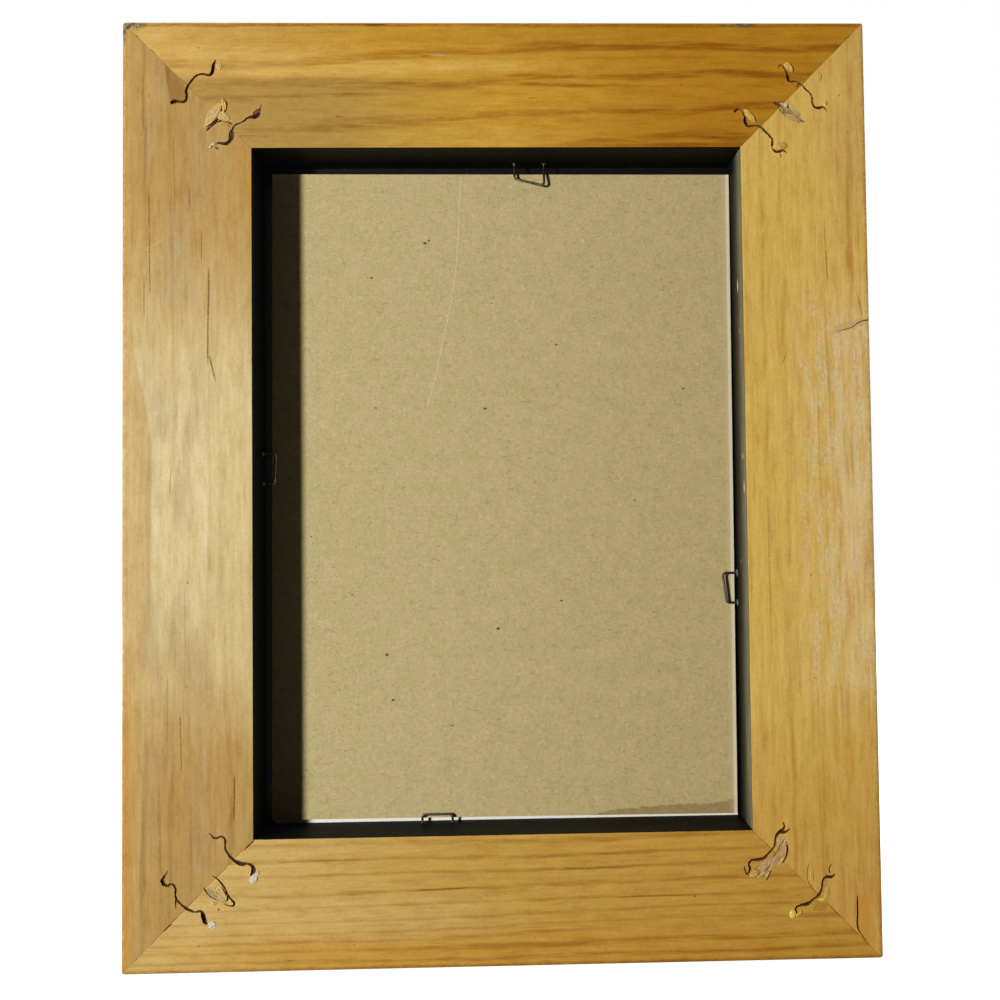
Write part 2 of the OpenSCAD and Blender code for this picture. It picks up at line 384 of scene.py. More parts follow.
    on_back = (0.85 + edge_wear * 0.5 - deep).over(0.0, 0.12)
    in_wood = deep.over(3.6, 3.4) * side_off.over(0.75, 0.85) * wall_off.over(0.12, 0.2) * facing.over(-0.5, 0.0)
    rim = wall_off.over(0.02, 0.16) * on_back
    bare = rim.most(in_wood)
    thin = deep.over(RECESS - 0.5, 0.5)
    thin = thin * thin * (0.6 + 0.7 * fibres.over(0.35, 0.7)) * facing.over(0.6, 0.2)
    brushed = shader.noise(shader.vector(along * 0.03, inward, deep), 1.5, 3.0, 0.6)
    dust = shader.cells(where, 0.35).over(0.10, 0.04) * shader.noise(where, 0.1).over(0.5, 0.6)
    black = shader.mix(0.5 * brushed.over(0.5, 0.8), BLACK_PAINT, paint(22, 21, 18))
    black = shader.mix(rail.worn * thin * wall_off.over(0.6, 0.0), black, WORN_PAINT)
    black = shader.mix(0.3 * dust, black, WORN_PAINT)
    for nick_up, nick_deep, half_up, half_deep in rail.nicks:
        chip = shader.round_spot(up + mottle * 0.6, deep + fibres * 0.4, nick_up, nick_deep, half_up, half_deep)
        black = shader.mix(0.8 * chip * wall_off.over(0.6, 0.0), black, BLEACHED_AND_GLINT)
    outside = (1 - bare) * side_off.over(0.9, 0.3).most(deep.over(RECESS + 1, RECESS + 3))
    groove = mitre.over(0.16, 0.04)
    black = shader.mix(0.8 * groove, black, (0.002, 0.002, 0.002))
    relief = fibres * 0.5 + mottle * 0.3 + 1.0 - 0.8 * seam - groove
    return shader.finish(
        Base_Color=shader.mix(bare, black, colour),
        Roughness=(0.52 + mottle * 0.16) - (1 - bare) * brushed * 0.1,
        Specular_IOR_Level=0.04, Coat_Weight=outside * 0.25, Coat_Roughness=0.35,
        Normal=shader.bump(relief, 0.4, 0.12),
    )


# Tones: what a rail's wood looks like before its bands, all from places along and inward

def top_tones(shader, along, inward, cloud, fibres):
    colour = shader.mix(along.over(20, 80), paint(203, 164, 90), HONEY)
    colour = shader.mix(along.over(85, 160), colour, AMBER)
    sunny = (abs(inward - 12.0).over(2.5, 0.5) * along.over(52, 66) * along.over(120, 92)).most(
        abs(inward - 31.5).over(3.5, 1.5) * along.over(54, 72) * along.over(128, 100) * 0.35)
    low_gold = abs(inward - 14.0).over(1.5, 0.5) * along.over(24, 34) * along.over(88, 66)
    colour = shader.mix(0.5 * sunny + 0.4 * low_gold, colour, GOLD)
    grey = along.over(104, 48) * inward.over(12.5, 17.5) * (0.55 + cloud * 0.8)
    colour = shader.mix(grey.held() * 0.9, colour, GREYED)
    outer = inward.over(9.5, 5) * along.over(4, 22) * along.over(165, 115)
    colour = shader.mix(0.9 * outer, colour, (0.89, 0.83, 0.70), "MULTIPLY")
    lower = inward.over(14, 32) * along.over(100, 150)
    return shader.mix(0.3 * lower, colour, (0.80, 0.72, 0.62), "MULTIPLY")


def bottom_tones(shader, along, inward, cloud, fibres):
    colour = shader.mix(along.over(15, 100), PALE_STRAW, STRAW)
    colour = shader.mix(0.85 * along.over(80, 165), colour, paint(196, 149, 62))
    colour = shader.mix(0.75 * inward.over(14, 4) * along.over(-20, 60), colour, paint(196, 146, 56))
    return shader.mix(0.5 * abs(inward - 13).over(8, 2) * along.over(30, 55) * along.over(110, 80), colour, PALE_STRAW)


def left_tones(shader, along, inward, cloud, fibres):
    ends = (along + cloud * 30).over(118, 58).most((along + cloud * 20).over(162, 212))
    colour = shader.mix(0.95 * ends, TAN, TAN_END)
    edge, _, _ = shader.course(
        along, [(60, 2, 1, 1), (88, 3, 1, 1), (100, 6, 1, 1), (112, 8.2, 1, 1), (126, 7.6, 1, 1), (160, 8, 1, 1),
                (200, 5, 1, 1)], HEIGHT)
    outer = (edge - inward).over(-0.4, 0.4)
    colour = shader.mix(0.6 * outer, colour, paint(190, 157, 98))
    inner, _, _ = shader.course(
        along, [(60, 18, 1, 1), (84, 19.5, 1, 1), (98, 20.2, 1, 1), (110, 22.4, 1, 1), (130, 22.6, 1, 1),
                (170, 21.5, 1, 1)], HEIGHT)
    pale = (1 - outer) * (inner - inward).over(-0.5, 0.4) * along.over(80, 108) * along.over(175, 128)
    rim = pale * ((inward - edge).over(2.4, 0.2) + (inner - inward).over(1.6, 0.2)).held()
    colour = shader.mix(0.25 * pale + 0.2 * rim, colour, BLEACHED_AND_GLINT)
    grey = cloud.over(0.42, 0.62) * inward.over(2, 8) * inward.over(28, 18)
    colour = shader.mix(0.45 * grey, colour, paint(170, 146, 104))
    colour = shader.mix(0.6 * abs(inward - 15).over(8, 3) * ends, colour, (0.94, 0.92, 0.88), "MULTIPLY")
    inner_dull = inward.over(22, 29) * along.over(132, 148) * along.over(172, 158)
    colour = shader.mix(0.8 * inner_dull, colour, (0.93, 0.91, 0.85), "MULTIPLY")
    warm = inward.over(5.0, 0.8) * along.over(150, 215) + inward.over(2.4, 0.4) * ends * 0.7
    colour = shader.mix(0.6 * warm.held(), colour, paint(190, 136, 58))
    return shader.mix(0.5 * inward.over(27, 33) * along.over(72, 40), colour, paint(180, 132, 58))


def right_tones(shader, along, inward, cloud, fibres):
    colour = shader.mix(along.over(170, 225), paint(219, 181, 92), paint(207, 162, 78))
    outer = inward.over(16, 6) * along.over(60, 95) * along.over(200, 150)
    colour = shader.mix(0.6 * outer, colour, paint(232, 200, 132))
    streaks = shader.noise(shader.vector(along * 0.05, inward, 0.0), 0.6, 3.0, 0.6).over(0.5, 0.68)
    colour = shader.mix(0.4 * streaks, colour, paint(198, 150, 68))
    orange = shader.noise(shader.vector(along * 0.12, inward, 0.0), 0.3, 3.0, 0.6).over(0.5, 0.64) * inward.over(15, 5)
    colour = shader.mix(0.6 * orange, colour, paint(200, 140, 70))
    top_end = inward.over(12, 4) * along.over(75, 30)
    return shader.mix(0.4 * top_end, colour, paint(204, 160, 92))


# Bands of latewood: places along the rail, inward from its outer edge, half width, strength

TOP_BANDS = [
    [(13, 11.6, 1.3, 0.5), (30, 11.6, 1.2, 0.5), (45, 11.4, 1.0, 0.45), (55, 10.2, 0.9, 0.55), (65, 9.0, 0.9, 0.65),
     (75, 8.4, 1.1, 0.7), (85, 8.4, 1.2, 0.7), (95, 8.3, 1.0, 0.7), (103, 7.8, 1.1, 0.7), (110, 6.6, 1.4, 0.8),
     (118, 6.8, 1.0, 0.8), (128, 7.0, 0.9, 0.9), (140, 6.8, 0.9, 0.9), (150, 6.3, 1.2, 1.0), (158, 6.7, 1.0, 1.0),
     (170, 7.4, 0.9, 1.0), (182, 7.3, 1.0, 1.0), (192, 6.6, 1.0, 0.9)],
    [(44, 11.9, 0.3, 0.0), (50, 11.7, 0.3, 0.6), (56, 11.3, 0.3, 0.5), (64, 10.3, 0.35, 0.4), (76, 9.7, 0.4, 0.5),
     (84, 9.9, 0.3, 0.0), (110, 9.8, 0.4, 0.0), (120, 9.7, 0.5, 0.35), (150, 9.6, 0.4, 0.35), (162, 9.8, 0.3, 0.0)],
    [(22, 16.6, 1.2, 0.4), (40, 16.4, 1.4, 0.4), (52, 16.6, 1.4, 0.4), (62, 17, 1.3, 0.55), (72, 17.2, 1.3, 0.7),
     (84, 17.2, 1.3, 0.75), (94, 16.6, 1.4, 0.75), (102, 15.4, 1.2, 0.75), (110, 14.6, 0.8, 0.9), (120, 14.9, 0.6, 0.7),
     (130, 15.3, 0.6, 0.7), (138, 14.8, 1.1, 0.85), (148, 14.6, 0.9, 0.8), (156, 13.6, 0.9, 0.9), (165, 14.0, 1.0, 1.0),
     (174, 14.8, 1.1, 1.0), (183, 14.6, 1.0, 1.0)],
    [(92, 17.4, 0.5, 0.0), (99, 17.2, 0.5, 0.55), (106, 16.8, 0.6, 0.8), (114, 17.0, 0.5, 0.8), (124, 17.3, 0.45, 0.85),
     (132, 17.3, 0.4, 0.5), (141, 17.2, 0.4, 0.0)],
    [(18, 20.4, 0.8, 0.3), (30, 20.6, 0.9, 0.35), (42, 20.0, 0.6, 0.4), (50, 19.8, 0.4, 0.6), (58, 19.8, 0.4, 0.75),
     (65, 19.6, 0.5, 0.4), (78, 19.4, 0.5, 0.0)],
    [(36, 27.5, 0.5, 0.0), (48, 27.0, 0.6, 0.25), (58, 26.4, 0.6, 0.35), (67, 25.9, 0.6, 0.5), (76, 26, 0.8, 0.5),
     (85, 26.2, 0.9, 0.55), (92, 25.4, 0.9, 0.65), (100, 25.0, 1.0, 0.7), (108, 25.2, 1.3, 0.65),
     (114, 24.6, 1.0, 0.65), (122, 24.0, 0.7, 0.7), (130, 24.2, 0.7, 0.75), (138, 24.2, 0.7, 0.9),
     (146, 24.6, 0.9, 0.85), (153, 24.4, 0.9, 0.75),
     (160, 23.0, 1.0, 0.9), (168, 22.6, 1.1, 0.9), (176, 22.4, 1.0, 0.75)],
    [(26, 29.4, 0.7, 0.25), (42, 29.2, 0.9, 0.4), (52, 28.9, 1.0, 0.5), (62, 28.3, 1.1, 0.55), (72, 27.4, 1.1, 0.55),
     (82, 27.2, 1.0, 0.4), (92, 26.8, 0.8, 0.3), (104, 26.4, 0.8, 0.0)],
    [(29, 30.9, 0.25, 0.0), (32, 30.8, 0.25, 0.7), (37, 30.9, 0.25, 0.6), (42, 30.6, 0.3, 0.0)],
    [(106, 34, 0.8, 0.0), (114, 33.4, 0.8, 0.4), (122, 32.6, 0.8, 0.5), (132, 32, 1.0, 0.6), (142, 31.2, 1.2, 0.65),
     (150, 30.4, 1.2, 0.75), (158, 30.8, 1.5, 0.75), (166, 31.6, 1.5, 0.8), (172, 33, 1.2, 0.75)],
    [(110, 33.9, 0.5, 0.0), (130, 33.8, 0.6, 0.6), (148, 33.5, 0.8, 0.9), (165, 33.6, 0.8, 0.9)],
    [(4, 1.0, 0.4, 0.6), (20, 1.1, 0.4, 0.8), (50, 0.9, 0.4, 0.8), (68, 0.9, 0.4, 0.9), (80, 1.0, 0.4, 0.5),
     (110, 1.0, 0.4, 0.5), (150, 1.1, 0.4, 0.6), (196, 1.0, 0.4, 0.6)],
]
BOTTOM_BANDS = [
    [(34, 32.2, 0.6, 0.5), (60, 32.4, 0.5, 0.4), (90, 32.6, 0.5, 0.5), (105, 32.1, 0.7, 0.65), (125, 32.4, 0.7, 0.6),
     (145, 33.2, 0.6, 0.5), (166, 33.4, 0.5, 0.4)],
    [(28, 28.0, 0.5, 0.5), (40, 28.1, 0.5, 0.65), (50, 28.3, 0.45, 0.5), (70, 28.5, 0.45, 0.5), (90, 28.3, 0.5, 0.55),
     (110, 28.3, 0.5, 0.6), (124, 28.5, 0.6, 0.8), (140, 29.2, 0.5, 0.6), (155, 29.5, 0.5, 0.6), (170, 29.6, 0.5, 0.5)],
    [(26, 24.4, 0.5, 0.4), (45, 24.3, 0.5, 0.5), (60, 24.6, 0.4, 0.5), (80, 24.8, 0.4, 0.5), (92, 24.8, 0.45, 0.65),
     (105, 24.8, 0.45, 0.75), (122, 25.0, 0.5, 0.85), (135, 25.2, 0.4, 0.6), (150, 25.9, 0.4, 0.5),
     (163, 25.9, 0.5, 0.4)],
    [(26, 19.8, 0.5, 0.5), (35, 19.2, 0.7, 0.7), (42, 19.2, 0.5, 0.6), (52, 19.7, 0.5, 0.55), (66, 20, 0.4, 0.6),
     (78, 20.3, 0.4, 0.85), (90, 20.4, 0.4, 0.75), (102, 20.5, 0.5, 0.6), (118, 21.4, 0.6, 0.75), (135, 21.5, 0.5, 0.6),
     (150, 21.9, 0.55, 0.8), (164, 21.9, 0.55, 0.75), (176, 22.2, 0.4, 0.5)],
    [(26, 15.8, 0.3, 0.3), (50, 16.3, 0.35, 0.4), (75, 16.4, 0.3, 0.35), (100, 17.2, 0.35, 0.4), (125, 17.4, 0.35, 0.5),
     (150, 17.6, 0.4, 0.5), (165, 17.8, 0.4, 0.5), (179, 18.8, 0.4, 0.55)],
    [(22, 12.4, 0.3, 0.35), (50, 12.5, 0.35, 0.4), (75, 12.5, 0.3, 0.3), (95, 13.2, 0.35, 0.4), (112, 13.9, 0.4, 0.5),
     (130, 14.3, 0.4, 0.5), (150, 15, 0.4, 0.45), (174, 15.2, 0.4, 0.5)],
    [(18, 9.6, 0.3, 0.35), (50, 9.4, 0.3, 0.35), (80, 9.8, 0.35, 0.35), (100, 10.8, 0.35, 0.45),
     (125, 11.4, 0.35, 0.45),
     (150, 12.1, 0.35, 0.4), (165, 12.0, 0.4, 0.4), (178, 11.6, 0.6, 0.6), (188, 11.8, 0.6, 0.5)],
    [(16, 7.0, 0.4, 0.5), (40, 7.4, 0.4, 0.6), (55, 7.5, 0.4, 0.5), (75, 7.4, 0.4, 0.4), (95, 8.0, 0.5, 0.6),
     (110, 9.0, 0.5, 0.65), (120, 9.4, 0.4, 0.5), (130, 9.4, 0.3, 0.0)],
    [(14, 5.0, 0.4, 0.4), (40, 5.1, 0.4, 0.4), (65, 5.2, 0.4, 0.45), (85, 5.4, 0.7, 0.65), (100, 5.5, 0.9, 0.85),
     (115, 5.7, 0.8, 0.8), (130, 6.2, 0.7, 0.65), (145, 6.6, 0.7, 0.7), (160, 6.5, 0.7, 0.8), (175, 6.6, 0.7, 0.85),
     (189, 7.2, 0.6, 0.7)],
    [(8, 2.4, 0.4, 0.5), (30, 2.8, 0.4, 0.5), (50, 2.4, 0.4, 0.4), (75, 2.2, 0.4, 0.5), (100, 2.4, 0.6, 0.75),
     (120, 2.8, 0.6, 0.7), (140, 2.9, 0.6, 0.8), (160, 3, 0.6, 0.85), (180, 3.3, 0.6, 0.8), (193, 4, 0.5, 0.6)],
    [(4, 0.8, 0.3, 0.5), (60, 0.7, 0.3, 0.4), (100, 0.8, 0.4, 0.6), (150, 0.6, 0.4, 0.7), (195, 0.8, 0.4, 0.6)],
]
LEFT_BANDS = [
    [(10, 5.6, 0.5, 0.25), (30, 6.0, 0.5, 0.25), (60, 6.4, 0.4, 0.2), (85, 7, 0.4, 0.0), (180, 6.5, 0.4, 0.0),
     (205, 5.8, 0.6, 0.35), (235, 5.4, 0.8, 0.4), (246, 5, 0.6, 0.3)],
    [(20, 12, 0.5, 0.2), (60, 13, 0.5, 0.2), (100, 14, 0.4, 0.1), (170, 14, 0.4, 0.1), (200, 13, 0.6, 0.3),
     (232, 12.4, 0.6, 0.3)],
    [(30, 24, 0.6, 0.15), (60, 25, 0.6, 0.15), (170, 26, 0.6, 0.1), (190, 28, 0.7, 0.35), (212, 28.4, 0.9, 0.45),
     (222, 28, 0.6, 0.3)],
]
RIGHT_BANDS = [
    [(30, 28.4, 0.5, 0.3), (60, 28.8, 0.5, 0.25), (100, 28.2, 0.5, 0.25), (140, 27.8, 0.4, 0.15), (200, 28, 0.5, 0.2)],
    [(20, 24, 0.6, 0.15), (80, 23, 0.6, 0.15), (160, 23.4, 0.5, 0.1), (225, 22.6, 0.6, 0.25)],
    [(40, 12.6, 0.4, 0.1), (78, 12, 0.4, 0.3), (98, 11.4, 0.5, 0.5), (118, 10.8, 0.4, 0.35), (140, 10.6, 0.4, 0.0)],
    [(20, 4, 0.8, 0.2), (50, 5, 1.0, 0.35), (75, 5.4, 0.8, 0.3), (100, 5, 0.6, 0.0)],
    [(170, 15, 0.6, 0.0), (200, 15.4, 0.9, 0.3), (235, 15, 0.9, 0.35)],
]
# Streaks: from and to along the rail, inward at each end, half width, strength; a pale scratch is below 0
LEFT_STREAKS = [
    (45, 56, 7.0, 7.2, 0.28, 0.6), (56, 73, 7.2, 7.4, 0.26, 0.6), (68, 79, 5.8, 5.8, 0.25, 0.6),
    (66, 91, 22.7, 22.4, 0.30, 0.75), (89, 96, 22.8, 24.4, 0.34, 0.75), (44, 50, 17.6, 17.8, 0.35, 0.5),
    (56, 65, 20.8, 20.8, 0.22, 0.6), (118, 126, 13.0, 12.4, 0.25, 0.4), (182, 198, 15.2, 15.6, 0.3, 0.5),
    (200, 226, 9.6, 10.2, 0.5, 0.25), (205, 230, 17.8, 18.0, 0.5, 0.2), (198, 210, 29.2, 29.0, 0.3, 0.8),
    (206, 222, 24.4, 24.0, 0.5, 0.15), (14, 30, 5.4, 5.6, 0.4, 0.3), (26, 44, 6.2, 6.0, 0.4, 0.25),
    (30, 52, 13.6, 13.8, 0.3, 0.3), (150, 168, 16.4, 16.6, 0.2, 0.3), (172, 190, 12.0, 11.8, 0.25, 0.3),
    (58, 60.5, 11.0, 7.0, 0.25, -0.5), (66, 67.5, 15.8, 20.2, 0.25, -0.5),
]
RIGHT_STREAKS = [
    (54, 71, 11.8, 11.2, 0.25, 0.5), (74, 80, 3.2, 2.0, 0.3, 0.6),
    (90, 92, 22.8, 23.6, 0.35, 0.8), (100, 128, 14.4, 14.2, 0.3, 0.25), (128, 160, 28.4, 28.2, 0.3, 0.3),
    (150, 152, 11.0, 12.6, 0.3, 0.6), (96, 130, 8.2, 8.0, 0.5, -0.35), (110, 150, 5.2, 5.0, 0.5, -0.4),
]
TOP_STREAKS = [
    (79, 81, 9.4, 9.2, 0.4, 0.9), (82, 86, 9.0, 9.0, 0.55, -0.25), (55.5, 58, 25.7, 25.6, 0.3, 0.9),
    (83, 85, 25.9, 25.9, 0.25, 0.7), (107, 110, 20.6, 20.6, 0.22, 0.8), (103, 106, 21.8, 21.8, 0.15, 0.4),
    (156, 159, 31.2, 31.4, 0.4, 0.7), (168.5, 170, 17.2, 17.4, 0.3, 0.9), (172.5, 173.5, 11.8, 11.8, 0.25, 0.8),
    (64, 70, 0.9, 0.8, 0.4, 0.9), (106, 108, 0.8, 0.8, 0.3, 0.9),
]
BOTTOM_STREAKS = [
    (76, 90, 20.2, 20.6, 0.18, 0.8), (40, 60, 28.0, 28.3, 0.18, 0.4), (114, 130, 24.9, 25.1, 0.18, 0.7),
    (123, 128, 28.6, 28.7, 0.25, 0.7), (42, 44.5, 2.9, 2.9, 0.35, 0.7), (85, 85.8, 28.6, 26.4, 0.35, -0.35),
    (86.6, 87.2, 28.2, 21.0, 0.35, -0.3), (128, 150, 17.4, 17.5, 0.2, 0.5),
]
# Stains, worn places and a darker brown wedge beside the top-left mitre: right and up of their corners, clockwise, and
# how strong they are
STAINS_AND_PATCHES = {
    "left": [("brown", [(-88.0, 238.0), (-82.6, 232.0), (-81.8, 227.6), (-86.2, 226.6)], 0.75)],
    "right": [("orange", [(92.4, 16.6), (95.6, 16.4), (95.0, 4.6), (92.4, 8.0)], 0.6),
              ("brown", [(89.0, 166.6), (99.4, 169.6), (99.4, 167.4), (89.0, 164.6)], 0.35)],
    "bottom": [("brown", [(81.6, 15.2), (84.8, 14.4), (83.4, 12.6), (80.4, 12.8)], 0.5)],
}

# Chips in the paint of the right wall: up, deep, half height, half depth
NICKS = [(179.2, 6.7, 2.4, 0.9), (132.7, 4.2, 1.1, 0.8), (124.3, 3.0, 2.4, 0.8), (104.4, 8.6, 0.8, 0.3),
         (166.7, 5.8, 0.8, 0.3)]

RAILS = {
    "rail_top": Rail("top", True, False, top_tones, TOP_BANDS, 0.9, TOP_STREAKS, None, 0.01),
    "rail_bottom": Rail("bottom", True, True, bottom_tones, BOTTOM_BANDS, 0.78, BOTTOM_STREAKS, None, 0.02),
    "rail_left": Rail("left", False, False, left_tones, LEFT_BANDS, 1.0, LEFT_STREAKS, None, 0.02),
    # The right rail's glints are painted highlights: from and to along it, and how far in they reach
    "rail_right": Rail("right", False, True, right_tones, RIGHT_BANDS, 1.0, RIGHT_STREAKS, (62, 192, 24), 1.0,
                       NICKS),
}


def torn_wood(name, light, shade, deep_shade):
    """Wood broken along its fibres: ragged and matt, with painted shade that darkens it where it lies deep."""
    shader = Shader(name)
    right, up, deep = shader.spot()
    where = shader.vector(right, up, deep)
    splits = shader.noise(shader.vector(right, up * 0.4, deep * 2), 2.6, 4.0, 0.7)
    colour = shader.mix(splits.over(0.42, 0.68), light, shade)
    # Painted shade: deep_shade darkens the hollow's floor with depth
    colour = shader.mix(deep.over(0.15, 0.9) * 0.8, colour, deep_shade)
    return shader.finish(
        Base_Color=colour, Roughness=0.85, Specular_IOR_Level=0.1,
        Normal=shader.bump(splits + shader.noise(where, 4.0, 3.0) * 0.4, 0.45, 0.16),
    )


def shaded_slot_wood():
    """The dark, crushed wood inside a fastener's slot or a crack, with painted shade that darkens it with depth."""
    shader = Shader("shaded_slot_wood")
    right, up, deep = shader.spot()
    where = shader.vector(right, up, deep)
    crushed = shader.noise(where, 2.2, 4.0, 0.7)
    # Painted shade: the colour darkens with depth, for the shade down in the slot
    colour = shader.mix(deep.over(0.02, 0.35), paint(150, 108, 60), paint(88, 57, 32))
    colour = shader.mix(deep.over(0.35, 0.85), colour, paint(38, 25, 15))
    colour = shader.mix(0.4 * crushed.over(0.55, 0.75), colour, paint(96, 62, 38))
    return shader.finish(
        Base_Color=colour, Roughness=0.9, Specular_IOR_Level=0.05, Normal=shader.bump(crushed, 0.6, 0.2)
    )


def fastener_steel():
    shader = Shader("fastener_steel")
    where = shader.vector(*shader.spot())
    rust = shader.noise(where, 1.1, 4.0, 0.7)
    colour = shader.mix(rust.over(0.4, 0.65), paint(34, 26, 21), paint(70, 42, 28))
    return shader.finish(
        Base_Color=colour, Metallic=0.35, Roughness=0.55 + rust * 0.3,
        Normal=shader.bump(rust, 0.3, 0.05),
    )


def staple_wire():
    shader = Shader("staple_wire")
    where = shader.vector(*shader.spot())
    dull = shader.noise(where, 1.6, 4.0, 0.7)
    colour = shader.mix(dull.over(0.35, 0.65), paint(96, 88, 74), paint(44, 37, 28))
    return shader.finish(
        Base_Color=colour, Metallic=0.8, Roughness=0.32 + dull * 0.2, Normal=shader.bump(dull, 0.2, 0.04)
    )


def lifted_paint(name, dark, light):
    """Paint and wood pushed up where a leg goes into the wall."""
    shader = Shader(name)
    right, up, deep = shader.spot()
    where = shader.vector(right, up, deep)
    torn = shader.noise(where, 2.0, 4.0, 0.7)
    colour = shader.mix(torn.over(0.42, 0.62), dark, light)
    return shader.finish(Base_Color=colour, Roughness=0.8, Normal=shader.bump(torn, 0.6, 0.2))


def dried_glue():
    shader = Shader("dried_glue")
    where = shader.vector(*shader.spot())
    cloudy = shader.noise(where, 1.4, 3.0, 0.6)
    colour = shader.mix(cloudy.over(0.35, 0.65), paint(206, 190, 34), paint(222, 196, 84))
    return shader.finish(Base_Color=colour, Roughness=0.25 + cloudy * 0.1, Normal=shader.bump(cloudy, 0.3, 0.1))


# Places on the board: its crease, its damp stain, its right edge and its specks
CREASE = [(-10.0, 211.6), (-10.6, 201.3), (-11.5, 186.3), (-13.1, 176.1), (-15.4, 165.9), (-17.3, 156.8),
          (-19.8, 147.5)]
STAIN_EDGE = [(22.0, 34.9), (25.7, 35.6), (31.2, 36.8), (40.0, 37.2), (48.5, 37.9), (56.0, 37.6), (62.3, 38.7),
              (65.0, 39.3)]
BOARD_EDGE, BOARD_LEAN = 64.37, 0.0035
BOARD_SPECKS = [
    (-20.3, 192.9, 0.45), (-19.2, 193.6, 0.35), (-35.1, 183.3, 0.4), (15.8, 164.4, 0.35), (-34.2, 147.2, 0.35),
    (-4.1, 146.8, 0.45), (16.4, 93.6, 0.35), (-1.1, 86.2, 0.45), (-31.6, 79.5, 0.5), (-30.0, 67.2, 0.4),
    (50.9, 151.9, 0.35), (-52.0, 112.0, 0.25), (37.0, 121.0, 0.3), (43.0, 74.0, 0.25), (-14.0, 60.0, 0.3),
    (26.0, 186.0, 0.25), (8.0, 133.0, 0.2), (-41.0, 96.0, 0.25), (33.0, 52.0, 0.25), (-2.0, 176.0, 0.2),
]


def backing_card():
    shader = Shader("backing_card")
    right, up, deep = shader.spot()
    where = shader.vector(right, up, deep)
    fibres = shader.noise(where, 1.15, 5.0, 0.75, 0.8)
    threads = shader.noise(shader.vector(right * 0.35, up * 1.1, deep), 1.0, 4.0, 0.7, 1.8)
    cross_threads = shader.noise(shader.vector(right * 1.1, up * 0.35, deep), 0.95, 4.0, 0.7, 1.8)
    tint = shader.noise(where, 0.22, 4.0, 0.65)
    colour = shader.mix(tint.over(0.38, 0.62), paint(193, 174, 126), paint(186, 171, 119))
    colour = shader.mix(0.5 * fibres.over(0.5, 0.7), colour, paint(160, 138, 88))
    colour = shader.mix(0.6 * fibres.over(0.48, 0.28), colour, paint(216, 203, 162))
    colour = shader.mix(0.5 * threads.over(0.56, 0.68), colour, paint(148, 122, 78))
    colour = shader.mix(0.42 * cross_threads.over(0.57, 0.68), colour, paint(156, 130, 88))
    colour = shader.mix(0.4 * cross_threads.over(0.42, 0.3), colour, paint(214, 202, 160))
    colour = shader.mix(0.4 * right.over(-30, 62), colour, (0.97, 0.92, 0.84), "MULTIPLY")
    crumbs = shader.cells(where, 0.8).over(0.16, 0.05) * shader.noise(where, 0.5).over(0.48, 0.62)
    colour = shader.mix(0.7 * crumbs, colour, paint(110, 84, 52))
    for spot_right, spot_up, size in BOARD_SPECKS:
        mask = shader.round_spot(right + fibres * 0.5 - 0.25, up + threads * 0.5 - 0.25, spot_right, spot_up,
                                 size * 1.5, size)
        colour = shader.mix(0.9 * mask, colour, paint(62, 44, 28))
    crease = None
    for (r0, u0), (r1, u1) in zip(CREASE, CREASE[1:]):
        line = (up - u0) * ((r1 - r0) / (u1 - u0)) + r0
        span = up.over(u1 - 0.1, u1 + 0.1) * up.over(u0 + 0.1, u0 - 0.1)
        part = abs(right + (fibres - 0.5) * 0.5 - line).over(0.42, 0.1) * span
        crease = part if crease is None else crease.most(part)
    colour = shader.mix(0.38 * crease * threads.over(0.35, 0.6), colour, paint(222, 208, 168))
    ragged = (threads - 0.5) * 2.4 + (fibres - 0.5) * 1.2
    damp = None
    for (r0, u0), (r1, u1) in zip(STAIN_EDGE, STAIN_EDGE[1:]):
        line = (right - r0) * ((u1 - u0) / (r1 - r0)) + u0
        span = right.over(r0 - 0.05, r0 + 0.05) * right.over(r1 + 0.05, r1 - 0.05)
        part = (line - up + ragged * 0.6).over(-0.1, 0.5) * span
        damp = part if damp is None else damp.most(part)
    colour = shader.mix(0.8 * damp, colour, (0.60, 0.52, 0.42), "MULTIPLY")
    # Painted highlight: a pale rim along the board's right edge, where its cut edge catches the light
    from_edge = BOARD_EDGE - right + (up - MIDDLE_UP) * BOARD_LEAN
    colour = shader.mix(0.35 * from_edge.over(2.4, 1.2) * fibres.over(0.3, 0.6), colour, paint(214, 202, 160))
    colour = shader.mix(0.75 * from_edge.over(1.1, 0.75) * fibres.over(0.2, 0.5), colour, paint(226, 216, 182))
    return shader.finish(
        Base_Color=colour, Roughness=0.92, Specular_IOR_Level=0.02,
        Normal=shader.bump(fibres + threads * 0.6 + crease * 0.6, 0.5, 0.14),
    )


def white_card():
    shader = Shader("white_card")
    where = shader.vector(*shader.spot())
    tooth = shader.noise(where, 3.0, 3.0, 0.6)
    colour = shader.mix(tooth.over(0.35, 0.7), paint(238, 235, 224), paint(228, 224, 212))
    return shader.finish(
        Base_Color=colour, Roughness=0.8, Specular_IOR_Level=0.03, Normal=shader.bump(tooth, 0.15, 0.03)
    )


def clear_glass():
    """Thin clear glass: a faint mirror that grows at a glancing angle, see-through otherwise."""
    shader = Shader("clear_glass")
    where = shader.vector(*shader.spot())
    haze = shader.noise(where, 0.05, 2.0)
    turned = shader.node("ShaderNodeLayerWeight", {}, {"Blend": 0.5}, "Facing")
    glancing = turned * turned * turned * turned * turned
    return shader.finish(
        Base_Color=(0.90, 0.96, 0.94), Metallic=1.0, Roughness=0.02 + haze * 0.03,
        Alpha=(0.04 + haze * 0.01 + glancing * 0.9).held(),
    )


# Modelling

def alone(piece):
    bpy.ops.object.select_all(action="DESELECT")
    piece.select_set(True)
    bpy.context.view_layer.objects.active = piece
    return piece


@contextmanager
def editing(piece):
    alone(piece)
    bpy.ops.object.mode_set(mode="EDIT")
    yield
    bpy.ops.object.mode_set(mode="OBJECT")


